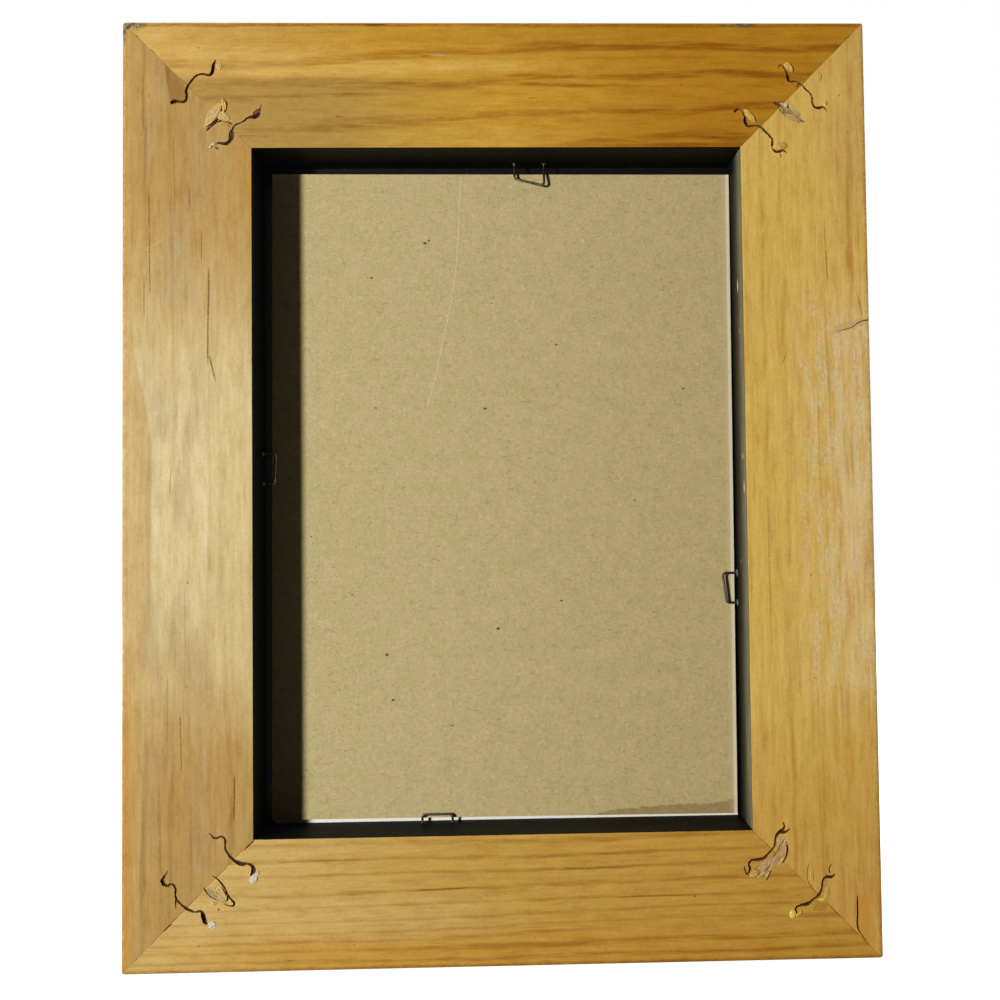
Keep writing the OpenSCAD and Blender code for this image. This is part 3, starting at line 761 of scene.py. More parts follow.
def pick(piece, wanted):
    """In edit mode, selects only the vertices whose place suits, and what lies between them."""
    bpy.ops.mesh.select_mode(type="VERT")
    bpy.ops.mesh.select_all(action="DESELECT")
    shape = bmesh.from_edit_mesh(piece.data)
    for vertex in shape.verts:
        vertex.select = wanted(vertex.co / MM)
    shape.select_flush(True)
    bmesh.update_edit_mesh(piece.data)


def turned_out():
    """In edit mode, merges doubles and points every face outwards."""
    bpy.ops.mesh.select_all(action="SELECT")
    bpy.ops.mesh.remove_doubles(threshold=0.001 * MM)
    bpy.ops.mesh.normals_make_consistent(inside=False)


def started(name):
    """Names the primitive that was just added, with its place in its mesh."""
    piece = bpy.context.object
    piece.name = piece.data.name = name
    alone(piece)
    bpy.ops.object.transform_apply(location=True, rotation=True, scale=True)
    return piece


def dressed(piece, finish, body="frame"):
    piece.data.materials.clear()
    piece.data.materials.append(finish)
    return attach(piece, body)


def use(piece, kind, **settings):
    """Adds a modifier and applies it."""
    alone(piece)
    added = piece.modifiers.new(kind.title(), kind)
    for name, value in settings.items():
        setattr(added, name, value)
    bpy.ops.object.modifier_apply(modifier=added.name)
    return piece


def smooth_curves(piece, angle=30):
    """Smooth shading on round surfaces; a flat one keeps its own normal up to its edges."""
    alone(piece)
    bpy.ops.object.shade_smooth_by_angle(angle=radians(angle))
    for face in piece.data.polygons:
        if max(abs(part) for part in face.normal) > 0.9998:
            face.use_smooth = False


def lumps(name, size):
    texture = bpy.data.textures.new(name, "CLOUDS")
    texture.noise_scale = size * MM
    texture.noise_depth = 2
    return texture


FINE_CUT = 0.09
ROUGH_LUMPS = lumps("rough_lumps", 0.9)
FINE_LUMPS = lumps("fine_lumps", 0.45)


def drawn(name, points):
    """A flat face drawn from point to point, by extruding one vertex."""
    bpy.ops.object.select_all(action="DESELECT")
    bpy.ops.mesh.primitive_plane_add(size=0.1 * MM, location=points[0])
    piece = started(name)
    with editing(piece):
        bpy.ops.mesh.select_all(action="SELECT")
        bpy.ops.mesh.merge(type="CENTER")
        for here, there in zip(points, points[1:]):
            bpy.ops.mesh.extrude_vertices_move(TRANSFORM_OT_translate={"value": there - here})
        bpy.ops.mesh.select_all(action="SELECT")
        bpy.ops.mesh.edge_face_add()
    return piece


def moulding(node, rail):
    """A rail: its section is drawn past one end, drawn out, rounded and cut to its two mitres."""
    cove = [(RAIL_W + LIP_W - SIGHT_FLAT - COVE * sin(a * pi / 12), DEPTH - COVE * cos(a * pi / 12)) for a in range(7)]
    inner = RAIL_W + LIP_W
    section = [(0, 0), (RAIL_W, 0), (RAIL_W, DEPTH - LIP_DEPTH), (inner, DEPTH - LIP_DEPTH), (inner, DEPTH - COVE),
               *cove, (0, DEPTH)]
    piece = drawn("pine_" + rail.name, [rail.at(-1, inward, deep) for inward, deep in section])

    def edge_at(inward, deep):
        want = rail.at(0, inward, deep) / MM
        run = (rail.at(1, 0, 0) - rail.at(0, 0, 0)) / MM
        return lambda spot: ((spot - want) - (spot - want).dot(run) * run).length < 0.05

    with editing(piece):
        bpy.ops.mesh.extrude_region_move(
            TRANSFORM_OT_translate={"value": rail.at(rail.reach() + 1, 0, 0) - rail.at(-1, 0, 0)})
        turned_out()
        for inward, deep, radius, steps in (
                (0, DEPTH, FRONT_ROUND, 12), (0, 0, BACK_ROUND, 5), (RAIL_W, 0, REBATE_ROUND, 2),
                (inner, DEPTH - LIP_DEPTH, LIP_ROUND, 2)):
            pick(piece, edge_at(inward, deep))
            bpy.ops.mesh.bevel(offset=radius * MM, segments=steps, profile=0.5, affect="EDGES")
        for along, sign in ((0, 1), (rail.reach(), -1)):
            corner = rail.at(along, 0, 0)
            endways, inwards = rail.at(along - sign, 0, 0) - corner, rail.at(along, 1, 0) - corner
            bpy.ops.mesh.select_all(action="SELECT")
            mitre = (endways + inwards).normalized()
            bpy.ops.mesh.bisect(plane_co=corner, plane_no=mitre, use_fill=True, clear_outer=True)
            for angle in (11.25, 22.5, 33.75, 45):
                out = (endways * sin(radians(angle)) - inwards * cos(radians(angle))) / MM
                touch = rail.at(along + sign * CORNER_ROUND, CORNER_ROUND, 0) + out * CORNER_ROUND * MM
                bpy.ops.mesh.select_all(action="SELECT")
                bpy.ops.mesh.bisect(plane_co=touch, plane_no=out, use_fill=True, clear_outer=True)
        turned_out()
    return piece


def vein(name, path, depth, ragged):
    """A cutter for a crack or a torn slot: a ragged tube that runs along the back face."""
    curve = bpy.data.curves.new(name, "CURVE")
    curve.dimensions = "3D"
    curve.bevel_depth = 0.5 * MM
    curve.bevel_resolution = 2
    curve.use_fill_caps = True
    line = curve.splines.new("BEZIER")
    line.bezier_points.add(len(path) - 1)
    line.resolution_u = 5
    for point, (right, up, width) in zip(line.bezier_points, path):
        point.co = place(right, up)
        point.radius = width
        point.handle_left_type = point.handle_right_type = "AUTO"
    piece = bpy.data.objects.new(name, curve)
    bpy.context.scene.collection.objects.link(piece)
    alone(piece)
    bpy.ops.object.convert(target="MESH")
    piece = bpy.context.object
    widest = max(width for _, _, width in path)
    with editing(piece):
        bpy.ops.mesh.select_all(action="SELECT")
        bpy.ops.transform.resize(value=(1, 2 * depth / widest, 1), center_override=place(path[0][0], path[0][1]))
    use(piece, "REMESH", mode="VOXEL", voxel_size=FINE_CUT * MM)
    return use(piece, "DISPLACE", texture=FINE_LUMPS, texture_coords="GLOBAL", strength=ragged * MM, mid_level=0.5)


def joined(name, pieces):
    """Joins pieces into one."""
    alone(pieces[0])
    for piece in pieces:
        piece.select_set(True)
    bpy.ops.object.join()
    pieces[0].name = pieces[0].data.name = name
    return pieces[0]


def moved_out(piece, right, up, deep, turn, lift=0.0):
    """Takes a piece from its own drawing to its place, turned up to the right and lifted at one end."""
    piece.data.transform(
        Matrix.Translation(place(right, up, deep)) @ Matrix.Rotation(radians(turn), 4, "Y")
        @ Matrix.Rotation(radians(lift), 4, "Z"))
    return piece


def fibrous(piece, seed, stretch, height):
    """Roughens a piece that is drawn short, then draws it out along its fibres."""
    piece.data.transform(Matrix.Translation(Vector((seed, 0, 0)) * MM))
    use(piece, "DISPLACE", texture=FINE_LUMPS, texture_coords="GLOBAL", strength=height * MM, mid_level=0.5)
    piece.data.transform(Matrix.Diagonal((stretch, 1, 1, 1)) @ Matrix.Translation(Vector((-seed, 0, 0)) * MM))
    return piece


def scoop(name, right, up, length, width, depth, turn):
    """A cutter for a splintered hollow: a lens whose lumps are drawn out along the fibres."""
    bpy.ops.object.select_all(action="DESELECT")
    bpy.ops.mesh.primitive_ico_sphere_add(
        subdivisions=6, radius=0.5 * MM, location=(0, 0, 0), scale=(length / 4, depth * 2, width))
    return moved_out(fibrous(started(name), right + up, 4, 0.45), right, up, 0, turn)


def sliver(name, finish, right, up, length, width, rise, turn, lift=0.0):
    """A leaf of wood that stands up from the face, narrow and low at both ends."""
    short = length / 4
    bpy.ops.object.select_all(action="DESELECT")
    bpy.ops.mesh.primitive_cube_add(size=MM, location=(0, 0, 0), scale=(short, 1.0, width))
    piece = started(name)
    with editing(piece):
        bpy.ops.mesh.select_all(action="SELECT")
        bpy.ops.mesh.subdivide(number_cuts=5)
        for share, keep, height in ((0.5, 0.1, 0.5), (1 / 3, 0.62, 0.85), (1 / 6, 0.92, 0.98)):
            for sign in (-1, 1):
                pick(piece, lambda spot: abs(spot.x - sign * share * short) < 0.02)
                bpy.ops.transform.resize(
                    value=(1, height, keep),
                    center_override=(sign * share * short * MM, -0.5 * MM, 0.1 * sign * width * MM))
    use(piece, "SUBSURF", levels=2, render_levels=2)
    moved_out(fibrous(piece, right + up, 4, 0.26), right, up, 0.5 - rise, turn, lift)
    smooth_curves(piece, 40)
    piece.data.materials.append(finish)
    return piece


pine_finishes = {node: pine(rail) for node, rail in RAILS.items()}
TORN_PALE = torn_wood("torn_pale_wood", paint(204, 174, 112), paint(181, 147, 88), paint(130, 97, 56))
TORN_GREY = torn_wood("torn_grey_wood", paint(210, 184, 136), paint(180, 149, 104), paint(124, 94, 60))
TORN_TAN = torn_wood("torn_tan_wood", paint(198, 162, 106), paint(168, 128, 78), paint(116, 82, 50))
TORN_STRAW = torn_wood("torn_straw_wood", paint(216, 176, 92), paint(186, 140, 62), paint(120, 84, 38))
CRUSHED = torn_wood("crushed_wood", paint(122, 84, 58), paint(94, 60, 44), paint(60, 38, 28))
TORN_WHITE = torn_wood("torn_white_fibres", paint(214, 204, 184), paint(176, 162, 140), paint(150, 132, 106))
SLOT_DARK = shaded_slot_wood()
STEEL = fastener_steel()
WIRE = staple_wire()
LIFTED_GREY = lifted_paint("lifted_grey_paint", paint(50, 56, 54), paint(110, 120, 114))
LIFTED_BLACK = lifted_paint("lifted_black_paint", paint(10, 10, 8), paint(36, 36, 32))
GLUE = dried_glue()

# The torn slots over the fasteners: right, up and width along each
SLOTS = {
    "top_left_outer": [(-86.3, 226.9, 0.8), (-85.4, 227.5, 1.1), (-83.9, 227.5, 0.7), (-82.7, 227.4, 0.8),
                       (-82.0, 228.6, 0.7), (-82.1, 230.6, 0.75), (-81.2, 232.4, 0.6), (-79.1, 234.6, 0.6),
                       (-77.4, 234.8, 0.6), (-75.9, 234.6, 0.8), (-75.2, 235.7, 1.0), (-75.0, 237.2, 0.9),
                       (-74.4, 238.6, 0.4)],
    "top_left_inner": [(-62.4, 226.7, 0.25), (-62.9, 225.0, 0.5), (-63.2, 224.0, 1.15), (-64.1, 223.4, 1.25),
                       (-65.7, 223.2, 0.7), (-67.4, 222.0, 0.5), (-69.7, 220.7, 0.5), (-70.2, 218.9, 0.7),
                       (-70.4, 217.4, 1.0), (-71.7, 216.2, 1.0), (-73.6, 216.4, 0.6), (-75.6, 215.6, 0.35)],
    "top_right_outer": [(75.5, 236.4, 0.25), (76.4, 237.3, 0.35), (77.4, 236.3, 0.45), (77.9, 235.1, 0.7),
                        (78.3, 233.9, 1.1), (78.6, 232.9, 0.7), (80.3, 232.8, 0.4), (81.3, 232.3, 0.5),
                        (82.9, 230.8, 0.5), (84.5, 228.9, 0.5), (84.7, 227.0, 0.6), (85.4, 225.8, 0.7),
                        (86.6, 225.6, 0.9), (87.5, 225.8, 0.6), (88.6, 224.7, 0.25)],
    "top_right_inner": [(63.6, 224.5, 0.7), (64.4, 225.2, 0.7), (65.1, 225.3, 0.35), (65.8, 224.4, 0.35),
                        (66.4, 223.4, 0.7), (66.5, 221.9, 1.1), (67.3, 220.7, 0.7), (69.0, 220.9, 0.45),
                        (70.6, 220.4, 0.6), (71.9, 219.1, 0.7), (73.6, 217.1, 0.6), (73.7, 215.2, 0.8),
                        (74.4, 213.9, 0.8), (75.7, 213.8, 0.7), (76.5, 214.1, 0.6), (77.7, 213.2, 0.25)],
    "bottom_left_inner": [(-76.4, 35.8, 0.35), (-74.7, 34.5, 0.6), (-73.1, 34.9, 0.6), (-72.2, 33.9, 0.6),
                          (-72.3, 32.0, 0.6), (-71.4, 30.3, 0.6), (-70.0, 28.8, 0.8), (-68.6, 28.0, 1.2),
                          (-67.6, 27.8, 1.1), (-66.5, 27.8, 0.6), (-65.4, 27.3, 0.9), (-65.0, 26.2, 1.3),
                          (-65.5, 24.7, 0.9)],
    "bottom_left_outer": [(-86.9, 26.4, 0.25), (-87.9, 24.9, 0.6), (-88.4, 23.8, 1.1), (-87.2, 22.6, 0.8),
                          (-85.9, 23.0, 0.6), (-85.0, 21.8, 0.6), (-85.0, 19.8, 0.6), (-83.5, 17.8, 0.6),
                          (-81.6, 16.4, 0.8), (-79.9, 15.8, 0.5), (-78.5, 15.9, 0.7), (-77.9, 14.7, 1.2),
                          (-77.6, 13.4, 1.2), (-76.9, 12.6, 0.6)],
    "bottom_right_inner": [(73.0, 35.9, 0.4), (73.4, 34.8, 0.5), (72.6, 33.6, 1.1), (71.7, 33.0, 0.9),
                           (71.0, 31.6, 0.6), (70.7, 29.8, 0.6), (69.4, 28.2, 0.6), (67.8, 26.7, 0.8),
                           (66.2, 26.3, 0.9), (64.7, 26.2, 0.7), (63.9, 25.2, 0.6), (64.2, 23.9, 0.7),
                           (63.4, 22.4, 0.5)],
    "bottom_right_outer": [(86.5, 22.1, 0.4), (85.6, 21.4, 0.8), (84.4, 21.5, 0.8), (83.4, 20.7, 0.6),
                           (83.0, 18.7, 0.6), (82.3, 17.1, 0.8), (80.6, 15.7, 0.6), (79.1, 14.6, 1.0),
                           (77.2, 14.3, 0.7), (76.0, 13.4, 0.7), (76.3, 12.3, 0.5)],
}

# Cracks: right, up and width along each
CRACKS = {
    "top_left_leaf": [(-71.5, 227.0, 0.4), (-71.8, 225.2, 0.45), (-73.6, 223.1, 0.4), (-75.4, 221.2, 0.5),
                      (-76.9, 219.6, 0.35)],
    "top_left_under": [(-76.7, 219.8, 0.4), (-75.2, 221.2, 0.45), (-74.1, 222.0, 0.5), (-72.0, 222.3, 0.5),
                       (-70.1, 221.4, 0.4)],
    "top_right_split": [(78.3, 224.8, 0.25), (80.5, 223.2, 0.4), (82.5, 221.8, 0.35)],
    "top_right_lip": [(74.2, 227.3, 0.3), (75.3, 226.7, 0.4), (77.2, 225.5, 0.3)],
    "top_right_spur": [(81.2, 232.2, 0.35), (80.5, 231.2, 0.25)],
    "bottom_left_curl": [(-75.6, 25.0, 0.2), (-74.4, 24.2, 0.4), (-72.7, 22.2, 0.5), (-71.3, 19.4, 0.55),
                         (-70.0, 17.4, 0.6), (-71.2, 17.2, 0.35), (-72.6, 17.7, 0.25)],
    "bottom_left_drop": [(-84.9, 19.7, 0.4), (-85.0, 18.2, 0.35), (-84.9, 16.7, 0.2)],
    "bottom_left_mitre": [(-64.8, 33.8, 0.3), (-66.2, 32.5, 0.35), (-67.4, 31.3, 0.2)],
    "bottom_left_mitre_low": [(-86.0, 12.9, 0.2), (-87.4, 11.6, 0.35), (-88.2, 10.9, 0.2)],
    "bottom_left_dot": [(-74.1, 16.4, 0.5), (-73.7, 16.2, 0.4)],
    "bottom_right_branch": [(74.9, 34.3, 0.3), (73.8, 33.4, 0.7), (72.6, 33.1, 0.8)],
    "bottom_right_ridge": [(68.5, 20.9, 0.35), (70.3, 24.4, 0.3), (72.2, 27.2, 0.35), (73.4, 29.4, 0.3)],
    "bottom_right_rim": [(73.7, 31.0, 0.25), (74.1, 28.9, 0.55), (73.7, 26.9, 0.5), (72.7, 25.2, 0.3)],
    "bottom_right_tip": [(62.6, 24.8, 0.25), (62.8, 23.6, 0.4), (63.3, 22.4, 0.3)],
    "bottom_right_foot": [(92.3, 16.4, 0.35), (92.3, 12.2, 0.5), (92.3, 8.1, 0.5), (93.0, 6.7, 0.3), (94.3, 4.9, 0.25)],
    "bottom_right_side": [(79.6, 25.2, 0.1), (79.2, 22.5, 0.18), (79.3, 20.6, 0.18), (80.7, 18.7, 0.12)],
    "bottom_right_upper": [(85.6, 24.8, 0.25), (85.0, 23.4, 0.4), (85.3, 22.2, 0.25)],
    "right_rail_knot": [(89.4, 165.1, 0.1), (91.8, 165.6, 0.16), (94.0, 166.3, 0.2), (96.4, 167.8, 0.26),
                        (99.4, 168.4, 0.34)],
}

# Hollows where wood broke out: right, up, length, width, depth, turn, finish
HOLLOWS = {
    "top_left": [(-74.4, 223.2, 7.4, 2.1, 0.40, 58, TORN_PALE), (-72.4, 223.2, 4.2, 1.9, 0.35, -24, TORN_PALE),
                 (-63.7, 224.2, 2.8, 1.9, 0.35, 55, CRUSHED), (-70.3, 218.2, 3.4, 1.5, 0.35, 78, CRUSHED)],
    "top_right": [(78.9, 224.3, 8.2, 3.4, 0.70, -35, TORN_PALE), (75.6, 226.6, 3.0, 1.0, 0.5, -20, CRUSHED)],
    "bottom_left": [(-75.6, 20.2, 5.6, 1.7, 0.65, -37, TORN_GREY), (-72.8, 19.8, 5.6, 2.6, 0.40, -52, TORN_PALE)],
    "bottom_right": [(67.8, 24.3, 7.4, 2.8, 0.45, 42, TORN_PALE), (70.4, 25.6, 9.4, 1.9, 0.55, 58, TORN_PALE),
                     (72.4, 28.2, 7.0, 2.0, 0.50, 70, TORN_GREY)],
}

# Leaves and chips: finish, right, up, length, width, rise, turn, lift
SLIVERS = {
    "top_left_leaf": (TORN_PALE, -74.9, 224.2, 8.6, 2.5, 0.42, 60, 3),
    "top_left_curl": (TORN_STRAW, -72.2, 226.7, 2.8, 1.1, 0.50, 105, -6),
    "top_left_under": (TORN_PALE, -72.6, 223.5, 4.8, 2.2, 0.30, -26, 0),
    "top_left_chip": (TORN_PALE, -73.4, 236.9, 2.3, 1.5, 0.30, -58, 0),
    "top_left_fibre_a": (TORN_GREY, -74.9, 216.1, 2.4, 0.7, 0.28, 16, 0),
    "top_left_fibre_b": (CRUSHED, -74.3, 215.1, 1.8, 0.6, 0.22, -34, 0),
    "top_left_fibre_c": (TORN_WHITE, -75.9, 215.3, 1.6, 0.5, 0.25, 60, 0),
    "top_right_curl": (TORN_STRAW, 78.3, 236.7, 3.6, 1.5, 0.48, -48, -6),
    "top_right_chip": (TORN_STRAW, 88.2, 226.9, 1.8, 0.8, 0.30, 80, 0),
    "top_right_inner_leaf": (TORN_STRAW, 67.6, 223.5, 5.4, 1.5, 0.45, -50, -3),
    "top_right_inner_chip": (TORN_STRAW, 75.8, 215.2, 4.4, 1.9, 0.42, 12, 0),
    "top_right_inner_spur": (TORN_STRAW, 75.5, 212.8, 1.7, 0.6, 0.25, -68, 0),
    "top_right_mitre": (TORN_PALE, 86.7, 234.0, 3.0, 1.2, 0.22, 92, 0),
    "top_right_ridge": (TORN_TAN, 79.5, 222.9, 5.4, 1.5, 0.02, -24, 0),
    "top_right_back": (TORN_PALE, 80.2, 225.2, 5.6, 1.6, -0.02, -40, 0),
    "top_right_white": (TORN_WHITE, 77.6, 226.3, 1.3, 0.9, 0.15, -30, 0),
    "bottom_left_leaf": (TORN_PALE, -73.3, 20.6, 5.4, 1.6, 0.18, -56, 0),
    "bottom_left_chip": (TORN_PALE, -75.4, 17.9, 1.9, 0.8, 0.25, 15, 0),
    "bottom_left_spur": (TORN_PALE, -72.2, 19.0, 2.0, 0.7, 0.28, 75, 0),
    "bottom_left_white": (TORN_WHITE, -75.5, 12.4, 2.8, 1.9, 0.22, -8, 0),
    "bottom_left_inner_white": (TORN_WHITE, -65.0, 23.8, 2.9, 2.0, 0.24, 78, 0),
    "bottom_left_inner_tip": (TORN_WHITE, -64.1, 25.4, 1.6, 0.9, 0.26, 40, 0),
    "bottom_right_big": (TORN_TAN, 68.4, 25.0, 7.4, 1.9, 0.10, 46, 0),
    "bottom_right_mid": (TORN_TAN, 70.9, 25.8, 8.4, 1.3, 0.08, 58, 0),
    "bottom_right_far": (TORN_TAN, 72.6, 27.8, 6.4, 1.3, 0.02, 66, 0),
    "bottom_right_chip": (TORN_STRAW, 65.2, 22.8, 3.4, 1.4, 0.30, 30, 0),
    "bottom_right_top": (TORN_PALE, 72.2, 31.2, 3.0, 1.3, 0.12, 76, 0),
    "bottom_right_strip": (TORN_STRAW, 80.3, 21.6, 6.0, 0.8, 0.22, 87, 0),
    "bottom_right_glued": (TORN_STRAW, 84.2, 17.4, 4.2, 1.1, 0.25, 78, 0),
    "bottom_right_low": (TORN_STRAW, 77.0, 12.2, 2.6, 0.7, 0.25, 40, 0),
}

SLOT_DEEP, SLOT_RAGGED = 0.85, 0.4
CRACK_DEEP, CRACK_RAGGED = 0.6, 0.16

# What cuts the rails, by corner and by the finish that it leaves
gathered = {}
for corner, scoops in HOLLOWS.items():
    for number, (*sizes, finish) in enumerate(scoops):
        gathered.setdefault((corner, finish), []).append(scoop(f"scoop_{corner}_{number}", *sizes))
for paths, depth, ragged in ((SLOTS, SLOT_DEEP, SLOT_RAGGED), (CRACKS, CRACK_DEEP, CRACK_RAGGED)):
    for name, path in paths.items():
        corner = "_".join(name.split("_")[:2])
        gathered.setdefault((corner, SLOT_DARK), []).append(vein("vein_" + name, path, depth, ragged))
cutters = []
for (corner, finish), pieces in gathered.items():
    cutter = use(joined("cutter_" + corner, pieces), "REMESH", mode="VOXEL", voxel_size=FINE_CUT * MM)
    use(cutter, "DECIMATE", ratio=0.3)
    cutter.data.materials.clear()
    cutter.data.materials.append(finish)
    cutter.data.transform(Matrix.Scale(1 / MM, 4))
    cutters.append(cutter)


def reaches(cutter, rail):
    """Whether a cutter, drawn in millimetres, comes inside this rail's mitres."""
    for vertex in cutter.data.vertices:
        along, inward = rail.grain(-vertex.co.x, vertex.co.z)
        if min(along, rail.reach() - along) > inward - 0.05 and inward < RAIL_W + LIP_W:
            return True
    return False


for node, rail in RAILS.items():
    piece = dressed(moulding(node, rail), pine_finishes[node])
    piece.data.transform(Matrix.Scale(1 / MM, 4))
    wanted = bpy.data.collections.new("cutters_" + rail.name)
    for cutter in cutters:
        if reaches(cutter, rail):
            wanted.objects.link(cutter)
    use(piece, "BOOLEAN", operation="DIFFERENCE", solver="EXACT", operand_type="COLLECTION", collection=wanted,
        material_mode="TRANSFER")
    piece.data.transform(Matrix.Scale(MM, 4))
    smooth_curves(piece)
    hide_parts(node)
for cutter in cutters:
    bpy.data.objects.remove(cutter)

splinters = {}
for name, leaf in SLIVERS.items():
    splinters.setdefault("_".join(name.split("_")[:2]), []).append(sliver("sliver_" + name, *leaf))
for corner, pieces in splinters.items():
    piece = joined("splinters_" + corner, pieces)
    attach(piece, "frame")

# Dried glue: name, right, up, half width, half height and how far it stands up
GLUE_SPOTS = [("glue_drop", 75.2, 12.0, 0.95, 1.15, 0.38), ("glue_smear", 82.9, 15.6, 0.9, 0.42, 0.16)]
for name, right, up, half_w, half_h, rise in GLUE_SPOTS:
    bpy.ops.object.select_all(action="DESELECT")
    bpy.ops.mesh.primitive_uv_sphere_add(
        segments=24, ring_count=12, radius=MM, location=place(right, up), scale=(half_w, rise, half_h))
    piece = started(name)
    use(piece, "DISPLACE", texture=ROUGH_LUMPS, texture_coords="GLOBAL", strength=0.25 * MM, mid_level=0.5)
    smooth_curves(piece, 60)
    dressed(piece, GLUE)

for name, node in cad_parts.items():
    if name.startswith("fastener"):
        node.data.materials.clear()
        node.data.materials.append(STEEL)

# Wire clips

WIRE_R = 0.33
LEG_SPACING = 8.2
LEG_IN = 8.65
CLIP_RISE = 12
BEND = 0.9


def wire_run(piece, start, heading, steps, pointed=False):
    """In edit mode, draws a wire with round ends: straights by length, turns by angle, radius and axis."""
    turn = heading.to_track_quat("Z", "Y").to_euler()
    spot = start - heading * WIRE_R * 0.95
    bpy.ops.mesh.select_all(action="DESELECT")
    bpy.ops.mesh.primitive_circle_add(vertices=14, radius=0.3 * WIRE_R * MM, location=spot * MM, rotation=turn)

    def on(length, size=1.0):
        nonlocal spot
        bpy.ops.mesh.extrude_region_move(TRANSFORM_OT_translate={"value": heading * length * MM})
        spot = spot + heading * length
        if size != 1.0:
            bpy.ops.transform.resize(value=(size, size, size), center_override=spot * MM)

    for length, size in ((0.25, 2.2), (0.35, 1.36), (0.35, 1.112)):
        on(length * WIRE_R, size)
    for step in steps:
        if len(step) == 1:
            on(step[0])
        else:
            angle, radius, axis = step
            side = axis.cross(heading).normalized()
            centre = spot + side * radius * (1 if angle > 0 else -1)
            bpy.ops.mesh.spin(steps=max(3, int(abs(angle) / 12)), angle=-radians(angle), center=centre * MM, axis=axis)
            spot = centre + Matrix.Rotation(radians(angle), 3, axis) @ (spot - centre)
            heading = (Matrix.Rotation(radians(angle), 3, axis) @ heading).normalized()
    if pointed:
        on(1.2, 0.25)
    else:
        for length, size in ((0.35, 1 / 1.112), (0.35, 1 / 1.36), (0.25, 1 / 2.2)):
            on(length * WIRE_R, size)


def wire_piece(name, runs, body):
    bpy.ops.object.select_all(action="DESELECT")
    bpy.ops.mesh.primitive_circle_add(vertices=3, radius=0.01 * MM)
    piece = started(name)
    with editing(piece):
        bpy.ops.mesh.select_all(action="SELECT")
        bpy.ops.mesh.delete(type="VERT")
        for run in runs:
            wire_run(piece, *run)
        bpy.ops.mesh.select_all(action="SELECT")
        bpy.ops.mesh.remove_doubles(threshold=0.0005 * MM)
        bpy.ops.mesh.fill_holes(sides=0)
        bpy.ops.mesh.normals_make_consistent(inside=False)
    smooth_curves(piece, 50)
    return dressed(piece, WIRE, body)


# Each clip: hinge right and up, the way along its wall, the way out of its wall, its two arms
BACKWARDS = Vector((0, 1, 0))
CLIPS = {
    "top": (8.8, 214.35, Vector((-1, 0, 0)), Vector((0, 0, -1)), (3.95, 6.1)),
    "left": (-64.35, 130.6, Vector((0, 0, 1)), Vector((-1, 0, 0)), (2.7, 3.2)),
    "bottom": (-18.1, 34.65, Vector((-1, 0, 0)), Vector((0, 0, 1)), (1.65, 1.65)),
    "right": (64.35, 96.6, Vector((0, 0, 1)), Vector((1, 0, 0)), (2.5, 3.65)),
}
for side, (right, up, along, out, arms) in CLIPS.items():
    hinge = place(right, up, RECESS - 0.65) / MM
    rising = (out * cos(radians(CLIP_RISE)) + BACKWARDS * sin(radians(CLIP_RISE))).normalized()
    axis = along.cross(rising).normalized()
    skew = atan((arms[1] - arms[0]) / LEG_SPACING)
    crown = LEG_SPACING / cos(skew)
    first, last = pi / 2 - skew, pi / 2 + skew
    cut_a, cut_b = BEND * tan(first / 2), BEND * tan(last / 2)
    start = hinge - along * LEG_SPACING / 2
    loop = wire_piece("wire_loop_" + side, [(start, rising, [
        (arms[0] - cut_a,), (-first * 180 / pi, BEND, axis), (crown - cut_a - cut_b,), (-last * 180 / pi, BEND, axis),
        (arms[1] - cut_b,)])], side + "_clip")
    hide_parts("clip_" + side)
    legs = wire_piece("wire_legs_" + side, [
        (hinge + along * sign * LEG_SPACING / 2, -out, [(LEG_IN - 1.2,)], True) for sign in (-1, 1)], "frame")
    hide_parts(f"clip_{side}_legs")
    burrs = []
    size = 0.95 if side == "right" else 0.62
    for number, sign in enumerate((-1, 1)):
        bpy.ops.object.select_all(action="DESELECT")
        spot = hinge * MM - out * 0.65 * MM + along * sign * LEG_SPACING / 2 * MM
        bpy.ops.mesh.primitive_ico_sphere_add(
            subdivisions=4, radius=MM, location=spot,
            scale=[0.3 if abs(part) > 0.5 else size + 0.1 * number for part in out])
        burr = started(f"burr_{side}_{number}")
        use(burr, "DISPLACE", texture=ROUGH_LUMPS, texture_coords="GLOBAL", strength=0.5 * MM, mid_level=0.6)
        smooth_curves(burr, 60)
        burrs.append(burr)
    dressed(joined("lifted_paint_" + side, burrs), LIFTED_GREY if side == "right" else LIFTED_BLACK)

# Glass with ground edges, a hair off the card behind it
GLASS_CLEAR = 0.06
near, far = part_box("glass_pane")
far = far - Vector((0.0, GLASS_CLEAR * MM, 0.0))
bpy.ops.object.select_all(action="DESELECT")
bpy.ops.mesh.primitive_cube_add(size=1.0, location=(near + far) / 2, scale=far - near)
pane = started("glass_ground")
with editing(pane):
    bpy.ops.mesh.select_all(action="SELECT")
    bpy.ops.mesh.bevel(offset=0.3 * MM, offset_type="OFFSET", segments=2, affect="EDGES")
    turned_out()
dressed(pane, clear_glass())
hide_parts("glass_pane")

# Card and board
for name, finish in (("picture_sheet", white_card()), ("backing_board", backing_card())):
    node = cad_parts[name]
    node.data.materials.clear()
    node.data.materials.append(finish)

# Light, floor and camera

def lamp(name, right, up, back, size, level, target=(0.0, MIDDLE_UP, 0.0)):
    """An area lamp that lights a white surface facing it to the given level."""
    data = bpy.data.lights.new(name, "AREA")
    data.shape = "DISK"
    data.size = size
    made = bpy.data.objects.new(name, data)
    bpy.context.scene.collection.objects.link(made)
    aim = place(target[0], target[1], target[2])
    made.location = place(right, up, -back)
    way = aim - made.location
    made.rotation_euler = way.to_track_quat("-Z", "Y").to_euler()
    data.energy = level * pi ** 2 * way.length_squared
    return made


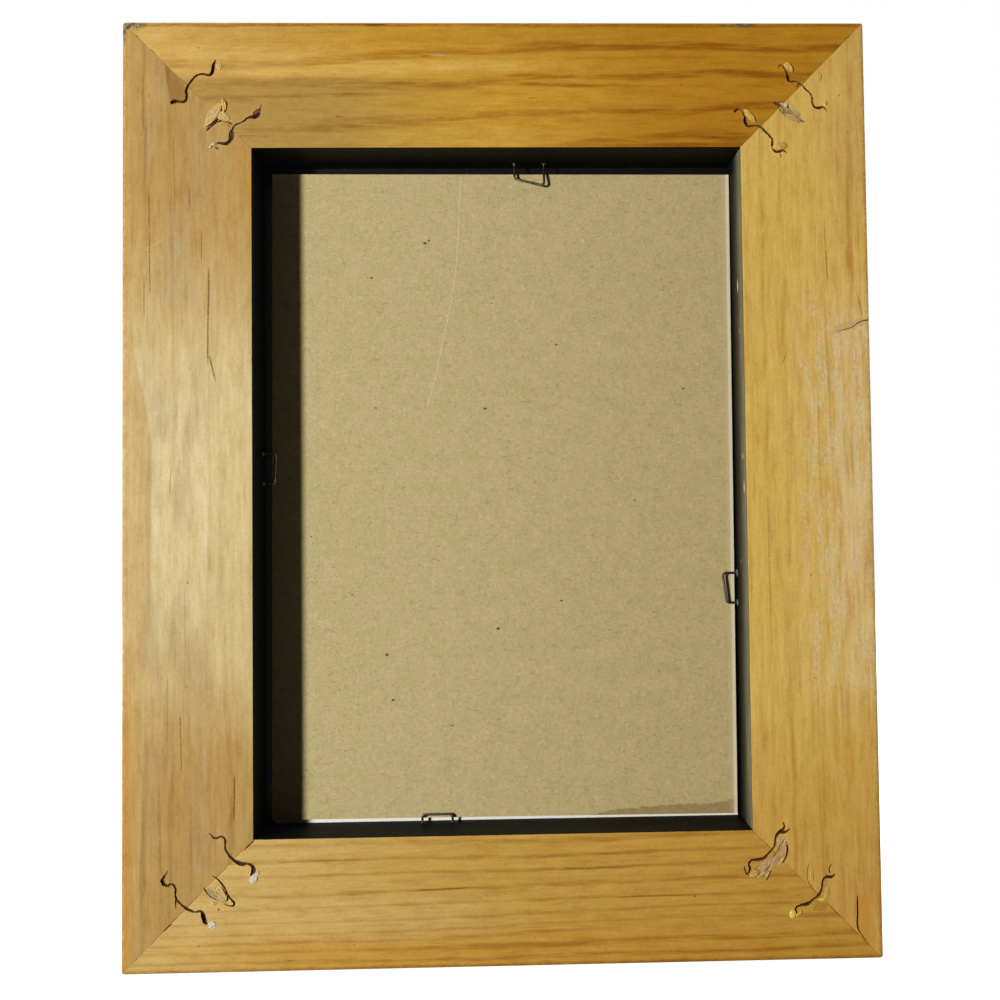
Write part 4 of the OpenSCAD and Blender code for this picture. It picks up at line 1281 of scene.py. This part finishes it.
lamp("key", -600, MIDDLE_UP + 50, 700, 0.085, 1.16)
lamp("right_side", 900, MIDDLE_UP, -70, 0.06, 0.45)
lamp("front_left", 700, 500, -900, 0.6, 0.55)
lamp("front_right", -800, 350, -800, 0.6, 0.35)
lamp("overhead", 0, 1200, -450, 0.7, 0.7)

# The room: a dim warm fill on what is matt, and white where it is seen or mirrored
ROOM_FILL = 0.007
SEEN_WHITE = 1.0
ROOM_TINT = (1.0, 0.55, 0.32, 1.0)
world = bpy.data.worlds.new("studio")
bpy.context.scene.world = world
world.use_nodes = True
sky = world.node_tree
sky.nodes.clear()
rays = sky.nodes.new("ShaderNodeLightPath")
seen = sky.nodes.new("ShaderNodeMath")
seen.operation = "MAXIMUM"
clear = sky.nodes.new("ShaderNodeMath")
clear.operation = "MAXIMUM"
level = sky.nodes.new("ShaderNodeMapRange")
level.inputs["To Min"].default_value = ROOM_FILL
level.inputs["To Max"].default_value = SEEN_WHITE
background = sky.nodes.new("ShaderNodeBackground")
warmth = sky.nodes.new("ShaderNodeMix")
warmth.data_type = "RGBA"
warmth.inputs[6].default_value = ROOM_TINT
warmth.inputs[7].default_value = (1.0, 1.0, 1.0, 1.0)
ending = sky.nodes.new("ShaderNodeOutputWorld")
sky.links.new(rays.outputs["Is Camera Ray"], seen.inputs[0])
sky.links.new(rays.outputs["Is Glossy Ray"], seen.inputs[1])
sky.links.new(seen.outputs[0], clear.inputs[0])
sky.links.new(rays.outputs["Is Transmission Ray"], clear.inputs[1])
sky.links.new(clear.outputs[0], level.inputs["Value"])
sky.links.new(clear.outputs[0], warmth.inputs["Factor"])
sky.links.new(warmth.outputs[2], background.inputs["Color"])
sky.links.new(level.outputs[0], background.inputs["Strength"])
sky.links.new(background.outputs[0], ending.inputs["Surface"])


def floor_finish():
    shader = Shader("pale_floor")
    rays = {name: shader.node("ShaderNodeLightPath", {}, {}, name)
            for name in ("Is Camera Ray", "Is Glossy Ray", "Is Transmission Ray")}
    seen = rays["Is Camera Ray"].most(rays["Is Glossy Ray"]).most(rays["Is Transmission Ray"])
    return shader.finish(
        Base_Color=shader.mix(seen, (0.12, 0.12, 0.12), (0.7, 0.7, 0.7)), Roughness=1.0, Specular_IOR_Level=0.0,
        Emission_Color=shader.mix(seen, (0.0, 0.0, 0.0), (0.92, 0.92, 0.92)), Emission_Strength=1.0,
    )


bpy.ops.object.select_all(action="DESELECT")
bpy.ops.mesh.primitive_circle_add(vertices=96, radius=1.6, fill_type="NGON", location=(0, 0, -0.0002))
floor = started("floor")
floor.data.materials.append(floor_finish())
floor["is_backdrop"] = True

# The camera's place and turn come from the frame's corners in the photograph
camera_data = bpy.data.cameras.new("camera")
camera = bpy.data.objects.new("camera", camera_data)
bpy.context.scene.collection.objects.link(camera)
CAMERA_AWAY = 306.7
CAMERA_TURN = (92.093, 0.651, 178.349)
camera.location = place(-1.30, MIDDLE_UP - 9.25, -CAMERA_AWAY)
camera.rotation_euler = [radians(angle) for angle in CAMERA_TURN]
camera_data.lens = 41.94
camera_data.shift_x = -0.0300
camera_data.shift_y = -0.0203
camera_data.clip_start = 0.01
bpy.context.scene.camera = camera
bpy.context.scene.view_settings.view_transform = "Standard"
